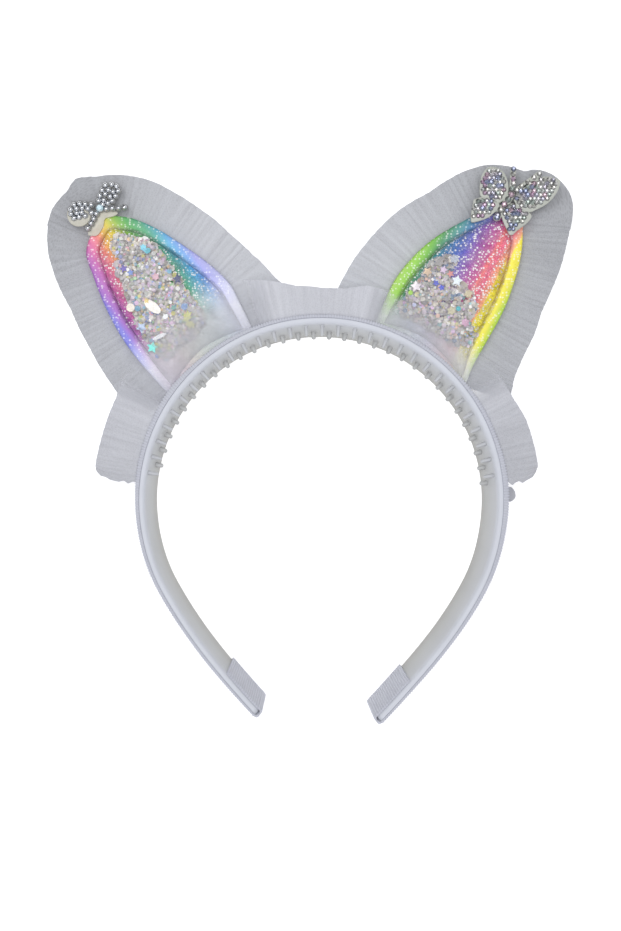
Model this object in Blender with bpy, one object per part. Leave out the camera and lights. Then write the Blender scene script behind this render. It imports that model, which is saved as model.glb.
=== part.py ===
"""A child's toothed headband with two rainbow sequin ears, pleated tulle and two butterflies.

The headband lies flat on the far edge of its band, with the ears pointing along +Y and its
face turned up. Every piece is laid out about the centre of the band's round part, and at the
end the whole object is stood with the middle of its outline over the origin.
"""
import bpy
import bmesh
from math import ceil, cos, pi, radians, sin, sqrt
from mathutils import Matrix, Vector

MM = 0.001
CLEARANCE = 0.3 * MM            # air between two pieces that touch on the real headband

# Band: a flared strip bent to a round top and two gently curved legs
BAND_RADIUS = 60.0 * MM         # outer radius at the near edge, ribbon included
BAND_ARC = radians(120.0)       # round part on each side of the top
LEG_RADIUS = 215.0 * MM
LEG_LEFT = 50.0 * MM            # leg lengths beyond the round part
LEG_RIGHT = 53.0 * MM
BAND_DEPTH = 10.0 * MM
BAND_FLARE = 4.0 * MM           # how much wider the near edge stands than the far one
BAND_SKEW = 0.6 * MM            # how far the near edge is pushed to the right of the far one
BAND_WALL = 1.8 * MM
TIP_SLANT = 2.0 * MM            # how much sooner the far edge ends at each tip
BAND_STEP = 5.0 * MM

# Comb teeth: two staggered rows inside the band
TOOTH_LENGTH = 3.5 * MM
TOOTH_RADIUS = 0.65 * MM
TOOTH_TIP_RADIUS = 0.35 * MM
TOOTH_ROOT = 0.8 * MM           # how deep each tooth is rooted in the wall
TOOTH_PITCH = 5.7 * MM          # measured along the band's outer edge
TEETH_LEFT = 85.0 * MM          # how far the rows run down each side from the top
TEETH_RIGHT = 91.0 * MM
TOOTH_LEVELS = (0.80, 0.37)     # each row's share of the band's depth

# Grosgrain ribbon: along the outer face, round both tips and back inside
RIBBON_THICKNESS = 0.5 * MM
RIBBON_MARGIN = 0.2 * MM        # bare band on each side of the ribbon
RIBBON_FOLD = 16.0 * MM         # length folded back inside each tip
FOLD_STEPS = 4

# Ears: a flat panel, a puffed clear window and loose sequins between the two
EAR_LENGTH_LEFT = 56.2 * MM     # from the band's outer edge to the tip
EAR_LENGTH_RIGHT = 55.5 * MM
EAR_ANGLE_LEFT = radians(129.0) # direction of each ear seen from the band's centre
EAR_ANGLE_RIGHT = radians(54.5)
EAR_HALF_WIDTH = 20.0 * MM
EAR_STEPS = 40                  # points along the sides of an ear's outline
BASE_STEPS = 8                  # points along its foot
PANEL_HEIGHT = 5.3 * MM         # underside of the panel above the table
PANEL_THICKNESS = 0.8 * MM
WINDOW_THICKNESS = 0.6 * MM
WINDOW_SEAM = 4.5 * MM          # welded rim round each window
DOME_HEIGHT = 3.8 * MM          # how far a window puffs up
DOME_FLAT = 0.7                 # share of the way to the ear's middle where the dome levels off
SPINE_LOW = 0.30                # the ear's middle line, as shares of its length
SPINE_HIGH = 0.80
FILL_EDGE = 0.15                # where the sequins start, as a share of the way to the middle
FILL_EDGE_THICKNESS = 0.5 * MM
FILL_THICKNESS = 2.2 * MM
FILL_LUMP = 0.25 * MM

# Pleated tulle
TULLE_THICKNESS = 1.0 * MM      # the folded layers pressed together
PLEAT_PITCH = 3.4 * MM
PLEAT_HEIGHT = 1.5 * MM
EAR_RUFFLE_WIDTH = 12.5 * MM
EAR_RUFFLE_TUCK = 3.0 * MM      # hidden under the panel's edge
BAND_RUFFLE_WIDTH = 9.0 * MM
BAND_RUFFLE_START = radians(4.3)
BAND_RUFFLE_END = radians(175.5)
BAND_RUFFLE_DROP = 1.2 * MM     # middle of the ruffle's root below the band's near edge
BAND_RUFFLE_LEAN = 0.36         # rise toward the viewer for each unit outward

# Butterflies
BROOCH_THICKNESS = 1.0 * MM
STUD_RADIUS = 0.85 * MM
STUD_HEIGHT = 0.8 * MM
STUD_PITCH = 1.8 * MM
STUD_MARGIN = 0.25 * MM         # backing that shows round the studs
STUD_TABLE = 0.5
STUD_SIDES = 8
CHAIN_START = 2.1 * MM
CHAIN_PITCH = 2.0 * MM
CHAIN_STUDS = 4
CENTRE_STONE_RADIUS = 1.2 * MM
CENTRE_STONE_HEIGHT = 1.1 * MM
CENTRE_STONE_SIDES = 12
PAD_RADIUS = 3.9 * MM           # round backing under the outer wing
PAD_PLACE = (3.6, 0.5)          # its centre along and across that wing, in stud pitches
PAD_SIDES = 20
STONE_RADIUS = 0.68 * MM
LARGE_STONE_RADIUS = 0.86 * MM
STONE_HEIGHT = 0.6 * MM
STONE_TABLE = 0.55              # table's share of a stone's radius
STONE_SIDES = 8
STONE_PITCH = 1.75 * MM
STONE_SINK = 0.2 * MM           # how deep each stone's foot lies in its setting
WING_MARGIN = 1.0 * MM          # resin left round each wing's stones
WING_ROOT = 0.30                # where a wing's stones start, as a share of its length
WING_MIDDLE = (0.52, 0.70)      # large stones down its middle, as shares of its length
WING_STEPS = 9
BODY_LENGTH = 10.5 * MM
BODY_WIDTH = 2.6 * MM
BODY_TAIL = 0.55                # share of the body below the butterfly's centre
BODY_STONES = 5
ANTENNA_LENGTH = 7.4 * MM
ANTENNA_WIDTH = 2.0 * MM
ANTENNA_STONES = 5

# Ear outlines: share of the length, then shares of the half width toward the band's middle line
# and away from it
EAR_OUTLINE_LEFT = (
    (0.00, 0.88, 0.82),
    (0.11, 1.00, 0.84),
    (0.25, 1.07, 0.83),
    (0.41, 1.01, 0.78),
    (0.59, 0.87, 0.67),
    (0.77, 0.69, 0.50),
    (0.92, 0.46, 0.30),
)
EAR_OUTLINE_RIGHT = (
    (0.00, 0.94, 0.86),
    (0.08, 1.03, 0.76),
    (0.24, 1.10, 0.71),
    (0.41, 1.07, 0.66),
    (0.57, 0.96, 0.56),
    (0.76, 0.72, 0.37),
    (0.91, 0.46, 0.12),
)
EAR_PEAK = 0.10                 # the tip's share of the half width toward the middle line

# Dome height along an ear: share of the length, share of the full height
DOME_PROFILE = (
    (0.00, 0.80),
    (0.30, 1.00),
    (0.58, 1.00),
    (0.78, 0.35),
    (1.00, 0.30),
)

# Ruffle widths: share of the way along the seam, share of the ruffle's width
RUFFLE_LEFT = (
    (0.00, 0.98),
    (0.28, 1.00),
    (0.42, 1.14),
    (0.465, 1.27),
    (0.52, 1.12),
    (0.62, 1.04),
    (0.88, 1.06),
    (1.00, 1.40),
)
RUFFLE_RIGHT = (
    (0.00, 1.08),
    (0.28, 1.08),
    (0.39, 1.26),
    (0.44, 1.46),
    (0.50, 1.16),
    (0.60, 1.12),
    (0.90, 1.10),
    (1.00, 1.30),
)
RUFFLE_BAND = (
    (0.00, 1.08),
    (0.06, 1.26),
    (0.13, 1.24),
    (0.25, 1.08),
    (0.50, 0.97),
    (0.75, 1.06),
    (0.86, 1.48),
    (0.95, 1.50),
    (1.00, 1.42),
)

# Stud rows of one wing, in stud pitches: across the wing, start along it, number of studs
STUD_ROWS = (
    (1.00, 1.30, 4),
    (0.10, 1.80, 4),
    (-0.82, 1.55, 4),
    (-1.62, 2.40, 3),
)
STUD_WING_TURN = radians(62.0)  # from the butterfly's heading to each of its wings
STUD_CHAIN_TURN = radians(117.0)

# Resin wings: turn from the heading in degrees, length and width, share of the length where
# the wing is widest
STONE_WINGS = (
    (57.0, 13.0 * MM, 9.6 * MM, 0.62),
    (-42.0, 17.2 * MM, 8.2 * MM, 0.60),
    (132.0, 12.0 * MM, 7.8 * MM, 0.66),
    (-118.0, 11.2 * MM, 8.8 * MM, 0.60),
)
ANTENNA_TURNS = (26.0, -23.0)

# Each butterfly's centre from its ear's tip, toward the band's middle line and outward, and the
# turn of its heading from the ear's direction
BUTTERFLY_LEFT_PLACE = (4.2 * MM, 2.6 * MM)
BUTTERFLY_RIGHT_PLACE = (6.8 * MM, -1.2 * MM)
BUTTERFLY_LEFT_TURN = radians(-7.0)
BUTTERFLY_RIGHT_TURN = radians(8.5)

EARS = {
    "left": {
        "angle": EAR_ANGLE_LEFT, "inward": 1.0, "length": EAR_LENGTH_LEFT,
        "outline": EAR_OUTLINE_LEFT, "ruffle": RUFFLE_LEFT,
        "fill_size": 0.96, "fill_centre": 0.50,
    },
    "right": {
        "angle": EAR_ANGLE_RIGHT, "inward": -1.0, "length": EAR_LENGTH_RIGHT,
        "outline": EAR_OUTLINE_RIGHT, "ruffle": RUFFLE_RIGHT,
        "fill_size": 0.78, "fill_centre": 0.32,
    },
}

COLOURS = {
    "plastic": ((0.80, 0.81, 0.82), 0.35, 0.0),
    "grosgrain": ((0.82, 0.83, 0.86), 0.60, 0.0),
    "tulle": ((0.74, 0.75, 0.78), 0.80, 0.0),
    "glitter_left": ((0.85, 0.35, 0.75), 0.35, 0.0),
    "glitter_right": ((0.30, 0.75, 0.60), 0.35, 0.0),
    "clear_film": ((0.92, 0.94, 0.96), 0.10, 0.0),
    "sequins": ((0.88, 0.84, 0.86), 0.25, 0.4),
    "chrome": ((0.75, 0.76, 0.78), 0.15, 1.0),
    "crystal": ((0.80, 0.78, 0.80), 0.15, 0.2),
}


def clear_scene():
    for item in list(bpy.data.objects):
        bpy.data.objects.remove(item, do_unlink=True)


def make_material(name):
    colour, roughness, metallic = COLOURS[name]
    material = bpy.data.materials.get(name) or bpy.data.materials.new(name)
    material.use_nodes = True
    shader = material.node_tree.nodes["Principled BSDF"]
    shader.inputs["Base Color"].default_value = (*colour, 1.0)
    shader.inputs["Roughness"].default_value = roughness
    shader.inputs["Metallic"].default_value = metallic
    material.diffuse_color = (*colour, 1.0)
    return material


def new_object(name, bm, material=None):
    """Turn a bmesh into a named object of the scene."""
    bmesh.ops.recalc_face_normals(bm, faces=bm.faces)
    mesh = bpy.data.meshes.new(name)
    bm.to_mesh(mesh)
    bm.free()
    mesh.shade_smooth()
    mesh.set_sharp_from_angle(angle=radians(35.0))
    item = bpy.data.objects.new(name, mesh)
    bpy.context.scene.collection.objects.link(item)
    if material:
        mesh.materials.append(make_material(material))
    return item


def fuse(target, operand):
    """Join the operand's bodies onto the target as one solid."""
    operand.hide_render = True
    operand.display_type = 'WIRE'
    union = target.modifiers.new("fuse", 'BOOLEAN')
    union.operation = 'UNION'
    union.solver = 'EXACT'
    union.use_self = True
    union.object = operand


def loft(bm, rings):
    """A closed body through rings of equally many points, with both ends filled."""
    loops = [[bm.verts.new(point) for point in ring] for ring in rings]
    for first, second in zip(loops, loops[1:]):
        for i in range(len(first)):
            j = (i + 1) % len(first)
            bm.faces.new((first[i], first[j], second[j], second[i]))
    bm.faces.new(loops[0])
    bm.faces.new(loops[-1])


def flat(vector):
    return Vector((vector.x, vector.y))


def look_up(table, share, column=1):
    """Read a table of shares at any share between its first and last rows."""
    for low, high in zip(table, table[1:]):
        if share <= high[0]:
            blend = max(0.0, (share - low[0]) / (high[0] - low[0]))
            return low[column] + (high[column] - low[column]) * blend
    return table[-1][column]


def smooth_line(points, steps=12):
    """A smooth curve through a few points."""
    ends = [points[0] * 2 - points[1]] + points + [points[-1] * 2 - points[-2]]
    line = []
    for a, b, c, d in zip(ends, ends[1:], ends[2:], ends[3:]):
        for k in range(steps):
            t = k / steps
            line.append(0.5 * (2 * b + (c - a) * t + (2 * a - 5 * b + 4 * c - d) * t ** 2
                               + (3 * b - a - 3 * c + d) * t ** 3))
    return line + [points[-1]]


def even_points(line, count):
    """Points at equal distances along a line, its two ends included."""
    walked = [0.0]
    for a, b in zip(line, line[1:]):
        walked.append(walked[-1] + (b - a).length)
    points = []
    k = 0
    for i in range(count):
        goal = walked[-1] * i / (count - 1)
        while k < len(line) - 2 and walked[k + 1] < goal:
            k += 1
        blend = (goal - walked[k]) / (walked[k + 1] - walked[k])
        points.append(line[k].lerp(line[k + 1], min(blend, 1.0)))
    return points


def line_length(line):
    return sum((b - a).length for a, b in zip(line, line[1:]))


def skew(height):
    """The sideways push of whatever is fixed to the band at a height."""
    return Vector((BAND_SKEW * height / BAND_DEPTH, 0.0, 0.0))


def rail(distance, offset, level):
    """A point of the band: distance from the top along its outer edge, positive to the right,
    offset outward from its outer face, and level from 0 at the far edge to 1 at the near one."""
    side = 1.0 if distance >= 0.0 else -1.0
    round_length = BAND_RADIUS * BAND_ARC
    full_length = round_length + (LEG_RIGHT if side > 0 else LEG_LEFT)
    walked = abs(distance) * (1.0 - TIP_SLANT * (1.0 - level) / full_length)
    offset -= BAND_FLARE * (1.0 - level)
    if walked <= round_length:
        turn = walked / BAND_RADIUS
        spot = Vector((sin(turn), cos(turn))) * (BAND_RADIUS + offset)
    else:
        turn = BAND_ARC + (walked - round_length) / LEG_RADIUS
        hub = Vector((sin(BAND_ARC), cos(BAND_ARC))) * (BAND_RADIUS - LEG_RADIUS)
        spot = hub + Vector((sin(turn), cos(turn))) * (LEG_RADIUS + offset)
    return Vector((side * spot.x, spot.y, BAND_DEPTH * level)) + skew(BAND_DEPTH * level)


def band_ends():
    round_length = BAND_RADIUS * BAND_ARC
    return -(round_length + LEG_LEFT), round_length + LEG_RIGHT


def stations(start, end, step):
    """Distances from start to end, both included, about one step apart."""
    count = max(1, ceil(abs(end - start) / step))
    return [start + (end - start) * i / count for i in range(count + 1)]


def plastic_offsets():
    outer = -(RIBBON_THICKNESS + CLEARANCE)
    return outer, outer - BAND_WALL


def make_band():
    """The flared plastic strip with two staggered rows of comb teeth, one solid."""
    outer, inner = plastic_offsets()
    left_end, right_end = band_ends()
    bm = bmesh.new()
    loft(bm, [
        [rail(s, outer, 0.0), rail(s, outer, 1.0), rail(s, inner, 1.0), rail(s, inner, 0.0)]
        for s in stations(left_end, right_end, BAND_STEP)
    ])
    band = new_object("band", bm, "plastic")
    fuse(band, make_teeth(inner))
    return band


def make_teeth(inner):
    bm = bmesh.new()
    depth = TOOTH_LENGTH + TOOTH_ROOT
    for row, level in enumerate(TOOTH_LEVELS):
        distance = -TEETH_LEFT + TOOTH_PITCH * 0.5 * row
        while distance <= TEETH_RIGHT:
            root = rail(distance, inner + TOOTH_ROOT, level)
            tip = rail(distance, inner - TOOTH_LENGTH, level)
            turn = Vector((0, 0, 1)).rotation_difference(tip - root).to_matrix().to_4x4()
            place = Matrix.Translation((root + tip) / 2) @ turn
            bmesh.ops.create_cone(
                bm, cap_ends=True, segments=4, radius1=TOOTH_RADIUS,
                radius2=TOOTH_TIP_RADIUS, depth=depth, matrix=place)
            distance += TOOTH_PITCH
    return new_object("band_teeth", bm)


def make_ribbon():
    """The ribbon's two faces, walked from the fold inside the left tip to the one on the right."""
    outer, inner = plastic_offsets()
    left_end, right_end = band_ends()
    low = RIBBON_MARGIN / BAND_DEPTH
    high = 1.0 - low
    outside = outer + CLEARANCE
    inside = inner - CLEARANCE
    walk = []

    def fold(end, side, order):
        """Stations of one fold: distance and offset of the covered face, then of the open face."""
        steps = []
        for i in range(FOLD_STEPS):
            s = end - side * RIBBON_FOLD * (1.0 - i / FOLD_STEPS)
            steps.append((s, inside, s, inside - RIBBON_THICKNESS))
        past = end + side * CLEARANCE
        round_tip = past + side * RIBBON_THICKNESS
        steps.append((past, inside, round_tip, inside - RIBBON_THICKNESS))
        steps.append((past, outside, round_tip, outside + RIBBON_THICKNESS))
        return steps[::order]

    walk += fold(left_end, -1.0, 1)
    for s in stations(left_end, right_end, BAND_STEP)[1:-1]:
        walk.append((s, outside, s, outside + RIBBON_THICKNESS))
    walk += fold(right_end, 1.0, -1)
    bm = bmesh.new()
    loft(bm, [
        [rail(s, a, low), rail(s, a, high), rail(t, b, high), rail(t, b, low)]
        for s, a, t, b in walk
    ])
    return new_object("ribbon", bm, "grosgrain")


def ribbon_reach(height):
    """Radius of the ribbon's outer face at a height."""
    return BAND_RADIUS - BAND_FLARE * (1.0 - min(height / BAND_DEPTH, 1.0))


def on_ear(ear, point, height):
    """Place a point of an ear, across and along it, in the headband's frame."""
    along = Vector((cos(ear["angle"]), sin(ear["angle"])))
    across = Vector((sin(ear["angle"]), -cos(ear["angle"]))) * ear["inward"]
    spot = along * (BAND_RADIUS + point.y) + across * point.x
    return Vector((spot.x, spot.y, height)) + skew(height)


def ear_sides(ear, seat, count):
    """The outline from the outer foot over the tip to the inner foot, standing on a seat radius."""
    rows = ear["outline"]

    def foot(across):
        return Vector((across, sqrt(seat ** 2 - across ** 2) - BAND_RADIUS))

    outer = [Vector((-row[2] * EAR_HALF_WIDTH, row[0] * ear["length"])) for row in rows[1:]]
    inner = [Vector((row[1] * EAR_HALF_WIDTH, row[0] * ear["length"])) for row in rows[1:]]
    peak = Vector((EAR_PEAK * EAR_HALF_WIDTH, ear["length"]))
    points = [foot(-rows[0][2] * EAR_HALF_WIDTH)] + outer + [peak]
    points += inner[::-1] + [foot(rows[0][1] * EAR_HALF_WIDTH)]
    return even_points(smooth_line(points), count)


def ear_ring(ear, height):
    """The whole outline of an ear's layer whose top is at a height, clear of the ribbon."""
    seat = ribbon_reach(height) + CLEARANCE
    sides = ear_sides(ear, seat, EAR_STEPS)
    start, end = sides[-1].x, sides[0].x
    base = []
    for i in range(1, BASE_STEPS):
        across = start + (end - start) * i / BASE_STEPS
        base.append(Vector((across, sqrt(seat ** 2 - across ** 2) - BAND_RADIUS)))
    return sides + base


def toward_spine(ear, ring, margin, share):
    """Move a ring in by a margin, then by a share of the rest of the way to the ear's middle."""
    moved = []
    for point in ring:
        up = min(max(point.y / ear["length"], SPINE_LOW), SPINE_HIGH)
        middle = (look_up(ear["outline"], up, 1) - look_up(ear["outline"], up, 2)) / 2
        spine = Vector((middle * EAR_HALF_WIDTH, up * ear["length"]))
        edge = point + (spine - point).normalized() * margin
        moved.append(edge.lerp(spine, share))
    return moved


def dome_rise(ear, point, share):
    """Height of a window's dome at a share of the way from its seam to the ear's middle."""
    along = look_up(DOME_PROFILE, max(point.y, 0.0) / ear["length"])
    return DOME_HEIGHT * along * sin(pi / 2 * min(share / DOME_FLAT, 1.0))


def window_floor():
    return PANEL_HEIGHT + PANEL_THICKNESS + CLEARANCE


def make_ear_back(side, ear):
    top = PANEL_HEIGHT + PANEL_THICKNESS
    ring = ear_ring(ear, top)
    bm = bmesh.new()
    loft(bm, [[on_ear(ear, point, height) for point in ring] for height in (PANEL_HEIGHT, top)])
    return new_object("ear_back_" + side, bm, "glitter_" + side)


def make_ear_window(side, ear):
    """A clear film with a flat welded rim and a puffed middle, open underneath."""
    floor = window_floor()
    ring = ear_ring(ear, floor + WINDOW_THICKNESS)
    shares = (0.0, DOME_FLAT / 2, DOME_FLAT)
    top = [[on_ear(ear, point, floor + WINDOW_THICKNESS) for point in ring]]
    under = [[on_ear(ear, point, floor) for point in ring]]
    for share in shares:
        points = toward_spine(ear, ring, WINDOW_SEAM, share)
        rises = [dome_rise(ear, point, share) for point in points]
        under.append([on_ear(ear, p, floor + rise) for p, rise in zip(points, rises)])
        top.append([on_ear(ear, p, floor + WINDOW_THICKNESS + r) for p, r in zip(points, rises)])
    bm = bmesh.new()
    loft(bm, under[::-1] + top)
    return new_object("ear_window_" + side, bm, "clear_film")


def make_sequin_fill(side, ear):
    """The heap of loose sequins between a panel and its window, as one lumpy solid."""
    floor = window_floor()
    ring = ear_ring(ear, floor + WINDOW_THICKNESS)
    heart = Vector((0.0, ear["fill_centre"] * ear["length"]))
    rows = (
        (FILL_EDGE, 0.0, 0.0),
        (FILL_EDGE, FILL_EDGE_THICKNESS, 0.0),
        (DOME_FLAT / 2, (FILL_EDGE_THICKNESS + FILL_THICKNESS) / 2, FILL_LUMP),
        (DOME_FLAT, FILL_THICKNESS, FILL_LUMP),
    )
    rings = []
    for share, thickness, lump in rows:
        points = toward_spine(ear, ring, WINDOW_SEAM, share)
        layer = []
        for i, point in enumerate(points):
            spot = heart.lerp(point, ear["fill_size"])
            fall = look_up(DOME_PROFILE, max(point.y, 0.0) / ear["length"])
            rise = (thickness + lump * sin(2.4 * i)) * fall
            layer.append(on_ear(ear, spot, floor + rise))
        rings.append(layer)
    bm = bmesh.new()
    loft(bm, rings)
    return new_object("sequin_fill_" + side, bm, "sequins")


def make_ruffle(name, seam, outward, widths, tuck, height, lean):
    """Pleated tulle along a seam: its pleats stand up and down in turn and open toward its edge."""
    rings = []
    last = len(seam) - 1
    for i, (spot, away) in enumerate(zip(seam, outward)):
        width = widths(i / last) * (1.0 + 0.02 * sin(2.4 * i))
        wave = PLEAT_HEIGHT / 2 * (1 if i % 2 else -1)
        line = []
        for reach, depth in ((-tuck, 0.3), (width / 2, 0.7), (width, 1.0)):
            point = spot + away * reach
            middle = height + lean * max(reach, 0.0) + wave * depth
            line.append(Vector((point.x, point.y, middle)))
        half = Vector((0, 0, TULLE_THICKNESS / 2))
        rings.append([point - half for point in line] + [point + half for point in line[::-1]])
    bm = bmesh.new()
    loft(bm, rings)
    return new_object(name, bm, "tulle")


def make_ear_ruffle(side, ear):
    """Tulle sewn under the edge of an ear's panel, from foot to foot."""
    height = PANEL_HEIGHT - CLEARANCE - (TULLE_THICKNESS + PLEAT_HEIGHT) / 2
    seat = BAND_RADIUS + CLEARANCE
    rough = ear_sides(ear, seat, EAR_STEPS)
    count = 2 * round(line_length(rough) / PLEAT_PITCH) + 1
    seam = [flat(on_ear(ear, point, height)) for point in ear_sides(ear, seat, count)]
    outward = []
    for i in range(count):
        along = seam[min(i + 1, count - 1)] - seam[max(i - 1, 0)]
        outward.append(Vector((-along.y, along.x)).normalized() * ear["inward"])
    return make_ruffle(
        "ear_ruffle_" + side, seam, outward,
        lambda share: EAR_RUFFLE_WIDTH * look_up(ear["ruffle"], share),
        EAR_RUFFLE_TUCK, height, 0.0)


def make_band_ruffle():
    """Tulle along the near edge of the ribbon, leaning over the feet of the ears."""
    seat = BAND_RADIUS + CLEARANCE
    arc = BAND_RUFFLE_END - BAND_RUFFLE_START
    count = 2 * round(arc * seat / PLEAT_PITCH) + 1
    outward = []
    for i in range(count):
        turn = BAND_RUFFLE_START + arc * i / (count - 1)
        outward.append(Vector((cos(turn), sin(turn))))
    return make_ruffle(
        "band_ruffle", [away * seat + flat(skew(BAND_DEPTH)) for away in outward], outward,
        lambda share: BAND_RUFFLE_WIDTH * look_up(RUFFLE_BAND, share),
        0.0, BAND_DEPTH - BAND_RUFFLE_DROP, BAND_RUFFLE_LEAN)


def turned(distance, turn, across=0.0):
    """A flat vector: a distance along a direction and a step to its left."""
    return Vector((distance * cos(turn) - across * sin(turn),
                   distance * sin(turn) + across * cos(turn)))


def prism(bm, outline, bottom, top):
    loft(bm, [[(p.x, p.y, height) for p in outline] for height in (bottom, top)])


def circle(centre, radius, sides):
    return [centre + turned(radius, 2 * pi * i / sides) for i in range(sides)]


def capsule(start, end, radius, sides=4):
    """The outline of a rounded bar from one point to another."""
    way = end - start
    turn = Vector((1, 0)).angle_signed(way) * -1.0
    outline = []
    for centre, first in ((end, -pi / 2), (start, pi / 2)):
        for i in range(sides + 1):
            outline.append(centre + turned(radius, turn + first + pi * i / sides))
    return outline


def cut_gem(bm, spot, radius, base, height, table, sides):
    """A stone or stud whose foot is sunk in its setting: sloping facets and a table."""
    rings = []
    for size, rise in ((radius, -STONE_SINK), (radius * table, height)):
        rings.append([(p.x, p.y, base + rise) for p in circle(spot, size, sides)])
    loft(bm, rings)


def stud_spots(centre, heading):
    """Centres of the chrome studs: two mirrored wings and two chains."""
    spots = []
    for side in (1.0, -1.0):
        wing = heading + side * STUD_WING_TURN
        for across, start, count in STUD_ROWS:
            for i in range(count):
                along = (start + i) * STUD_PITCH
                spots.append(centre + turned(along, wing, -side * across * STUD_PITCH))
        chain = heading + side * STUD_CHAIN_TURN
        for i in range(CHAIN_STUDS):
            spots.append(centre + turned(CHAIN_START + i * CHAIN_PITCH, chain))
    return spots


def near_tip(ear, place, height):
    """A point of the headband measured from an ear's tip, across and along the ear."""
    return flat(on_ear(ear, Vector((place[0], ear["length"] + place[1])), height))


def make_butterfly_left():
    """Chrome studs and one pale stone on a thin backing, fused to one solid."""
    bottom = window_floor() + WINDOW_THICKNESS + CLEARANCE
    centre = near_tip(EARS["left"], BUTTERFLY_LEFT_PLACE, bottom)
    heading = EAR_ANGLE_LEFT + BUTTERFLY_LEFT_TURN
    top = bottom + BROOCH_THICKNESS
    bm = bmesh.new()
    along, across = PAD_PLACE
    wing = heading + STUD_WING_TURN
    pad = centre + turned(along * STUD_PITCH, wing, across * STUD_PITCH)
    prism(bm, circle(pad, PAD_RADIUS, PAD_SIDES), bottom, top)
    plate = new_object("butterfly_left", bm, "chrome")
    bm = bmesh.new()
    half = STUD_RADIUS + STUD_MARGIN
    for side in (1.0, -1.0):
        turn = heading + side * STUD_WING_TURN
        for across, start, count in STUD_ROWS:
            step = -side * across * STUD_PITCH
            first = centre + turned(start * STUD_PITCH, turn, step)
            last = centre + turned((start + count - 1) * STUD_PITCH, turn, step)
            prism(bm, capsule(first, last, half), bottom, top)
        chain = heading + side * STUD_CHAIN_TURN
        end = centre + turned(CHAIN_START + (CHAIN_STUDS - 1) * CHAIN_PITCH, chain)
        prism(bm, capsule(centre, end, half), bottom, top)
        neck = centre + turned(2.0 * STUD_PITCH, turn)
        prism(bm, capsule(centre, neck, half), bottom, top)
    for spot in stud_spots(centre, heading):
        cut_gem(bm, spot, STUD_RADIUS, top, STUD_HEIGHT, STUD_TABLE, STUD_SIDES)
    cut_gem(bm, centre, CENTRE_STONE_RADIUS, top, CENTRE_STONE_HEIGHT, STONE_TABLE,
            CENTRE_STONE_SIDES)
    fuse(plate, new_object("butterfly_left_studs", bm))
    return plate


def wing_outline(centre, turn, length, width, widest):
    """A wing from the body outward: narrow at its root, broad past the middle, blunt at its tip."""
    shares = [i / WING_STEPS for i in range(1, WING_STEPS)]
    left = []
    right = []
    for share in shares:
        half = wing_half(share, width, widest)
        left.append(centre + turned(share * length, turn, half))
        right.append(centre + turned(share * length, turn, -half))
    return [centre] + left + [centre + turned(length, turn)] + right[::-1]


def wing_half(share, width, widest):
    """Half a wing's width at a share of its length."""
    if share < widest:
        return width / 2 * sin(pi / 2 * share / widest)
    return width / 2 * sqrt(max(0.0, 1.0 - ((share - widest) / (1.0 - widest)) ** 2))


def wing_stones(centre, turn, length, width, widest):
    """A row of small stones round the wing and a line of large ones down its middle."""
    short = length - 2 * WING_MARGIN
    narrow = width - 2 * WING_MARGIN - STONE_RADIUS
    steps = 4 * WING_STEPS
    left = []
    right = []
    for i in range(steps + 1):
        share = WING_ROOT + (1.0 - WING_ROOT) * i / steps
        half = wing_half(share, narrow, widest)
        left.append(centre + turned(WING_MARGIN + share * short, turn, half))
        right.append(centre + turned(WING_MARGIN + share * short, turn, -half))
    line = left + right[-2::-1]
    count = round(line_length(line) / STONE_PITCH) + 1
    rim = [(spot, STONE_RADIUS) for spot in even_points(line, count)]
    middle = [(centre + turned(share * length, turn), LARGE_STONE_RADIUS) for share in WING_MIDDLE]
    return rim + middle


def make_butterfly_right():
    """Cut stones on a cream resin butterfly, fused to one solid."""
    dome_near_tip = DOME_HEIGHT * DOME_PROFILE[3][1]
    bottom = window_floor() + WINDOW_THICKNESS + dome_near_tip + CLEARANCE
    centre = near_tip(EARS["right"], BUTTERFLY_RIGHT_PLACE, bottom)
    heading = EAR_ANGLE_RIGHT + BUTTERFLY_RIGHT_TURN
    top = bottom + BROOCH_THICKNESS
    tail = centre - turned(BODY_LENGTH * BODY_TAIL, heading)
    head = centre + turned(BODY_LENGTH * (1.0 - BODY_TAIL), heading)
    bm = bmesh.new()
    prism(bm, capsule(tail, head, BODY_WIDTH / 2), bottom, top)
    plate = new_object("butterfly_right", bm, "crystal")
    bm = bmesh.new()
    stones = []
    for turn, length, width, widest in STONE_WINGS:
        way = heading + radians(turn)
        prism(bm, wing_outline(centre, way, length, width, widest), bottom, top)
        stones += wing_stones(centre, way, length, width, widest)
    for turn in ANTENNA_TURNS:
        way = heading + radians(turn)
        prism(bm, capsule(head, head + turned(ANTENNA_LENGTH, way), ANTENNA_WIDTH / 2, 4),
              bottom, top)
        for i in range(ANTENNA_STONES):
            share = (i + 1) / ANTENNA_STONES
            stones.append((head + turned(ANTENNA_LENGTH * share, way), STONE_RADIUS))
    for i in range(BODY_STONES):
        spot = tail.lerp(head, i / (BODY_STONES - 1))
        stones.append((spot, LARGE_STONE_RADIUS))
    for spot, radius in stones:
        cut_gem(bm, spot, radius, top, STONE_HEIGHT, STONE_TABLE, STONE_SIDES)
    fuse(plate, new_object("butterfly_right_stones", bm))
    return plate


def stand_on_origin(pieces):
    """Parent the pieces to one empty and bring the middle of their outline over the origin."""
    root = bpy.data.objects.new("headband_origin", None)
    bpy.context.scene.collection.objects.link(root)
    bpy.context.view_layer.update()
    graph = bpy.context.evaluated_depsgraph_get()
    corners = [Vector(corner) for piece in pieces for corner in piece.evaluated_get(graph).bound_box]
    middle_x = (min(c.x for c in corners) + max(c.x for c in corners)) / 2
    middle_y = (min(c.y for c in corners) + max(c.y for c in corners)) / 2
    for item in bpy.context.scene.collection.objects:
        if item is not root:
            item.parent = root
    root.location = (-middle_x, -middle_y, 0.0)


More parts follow.
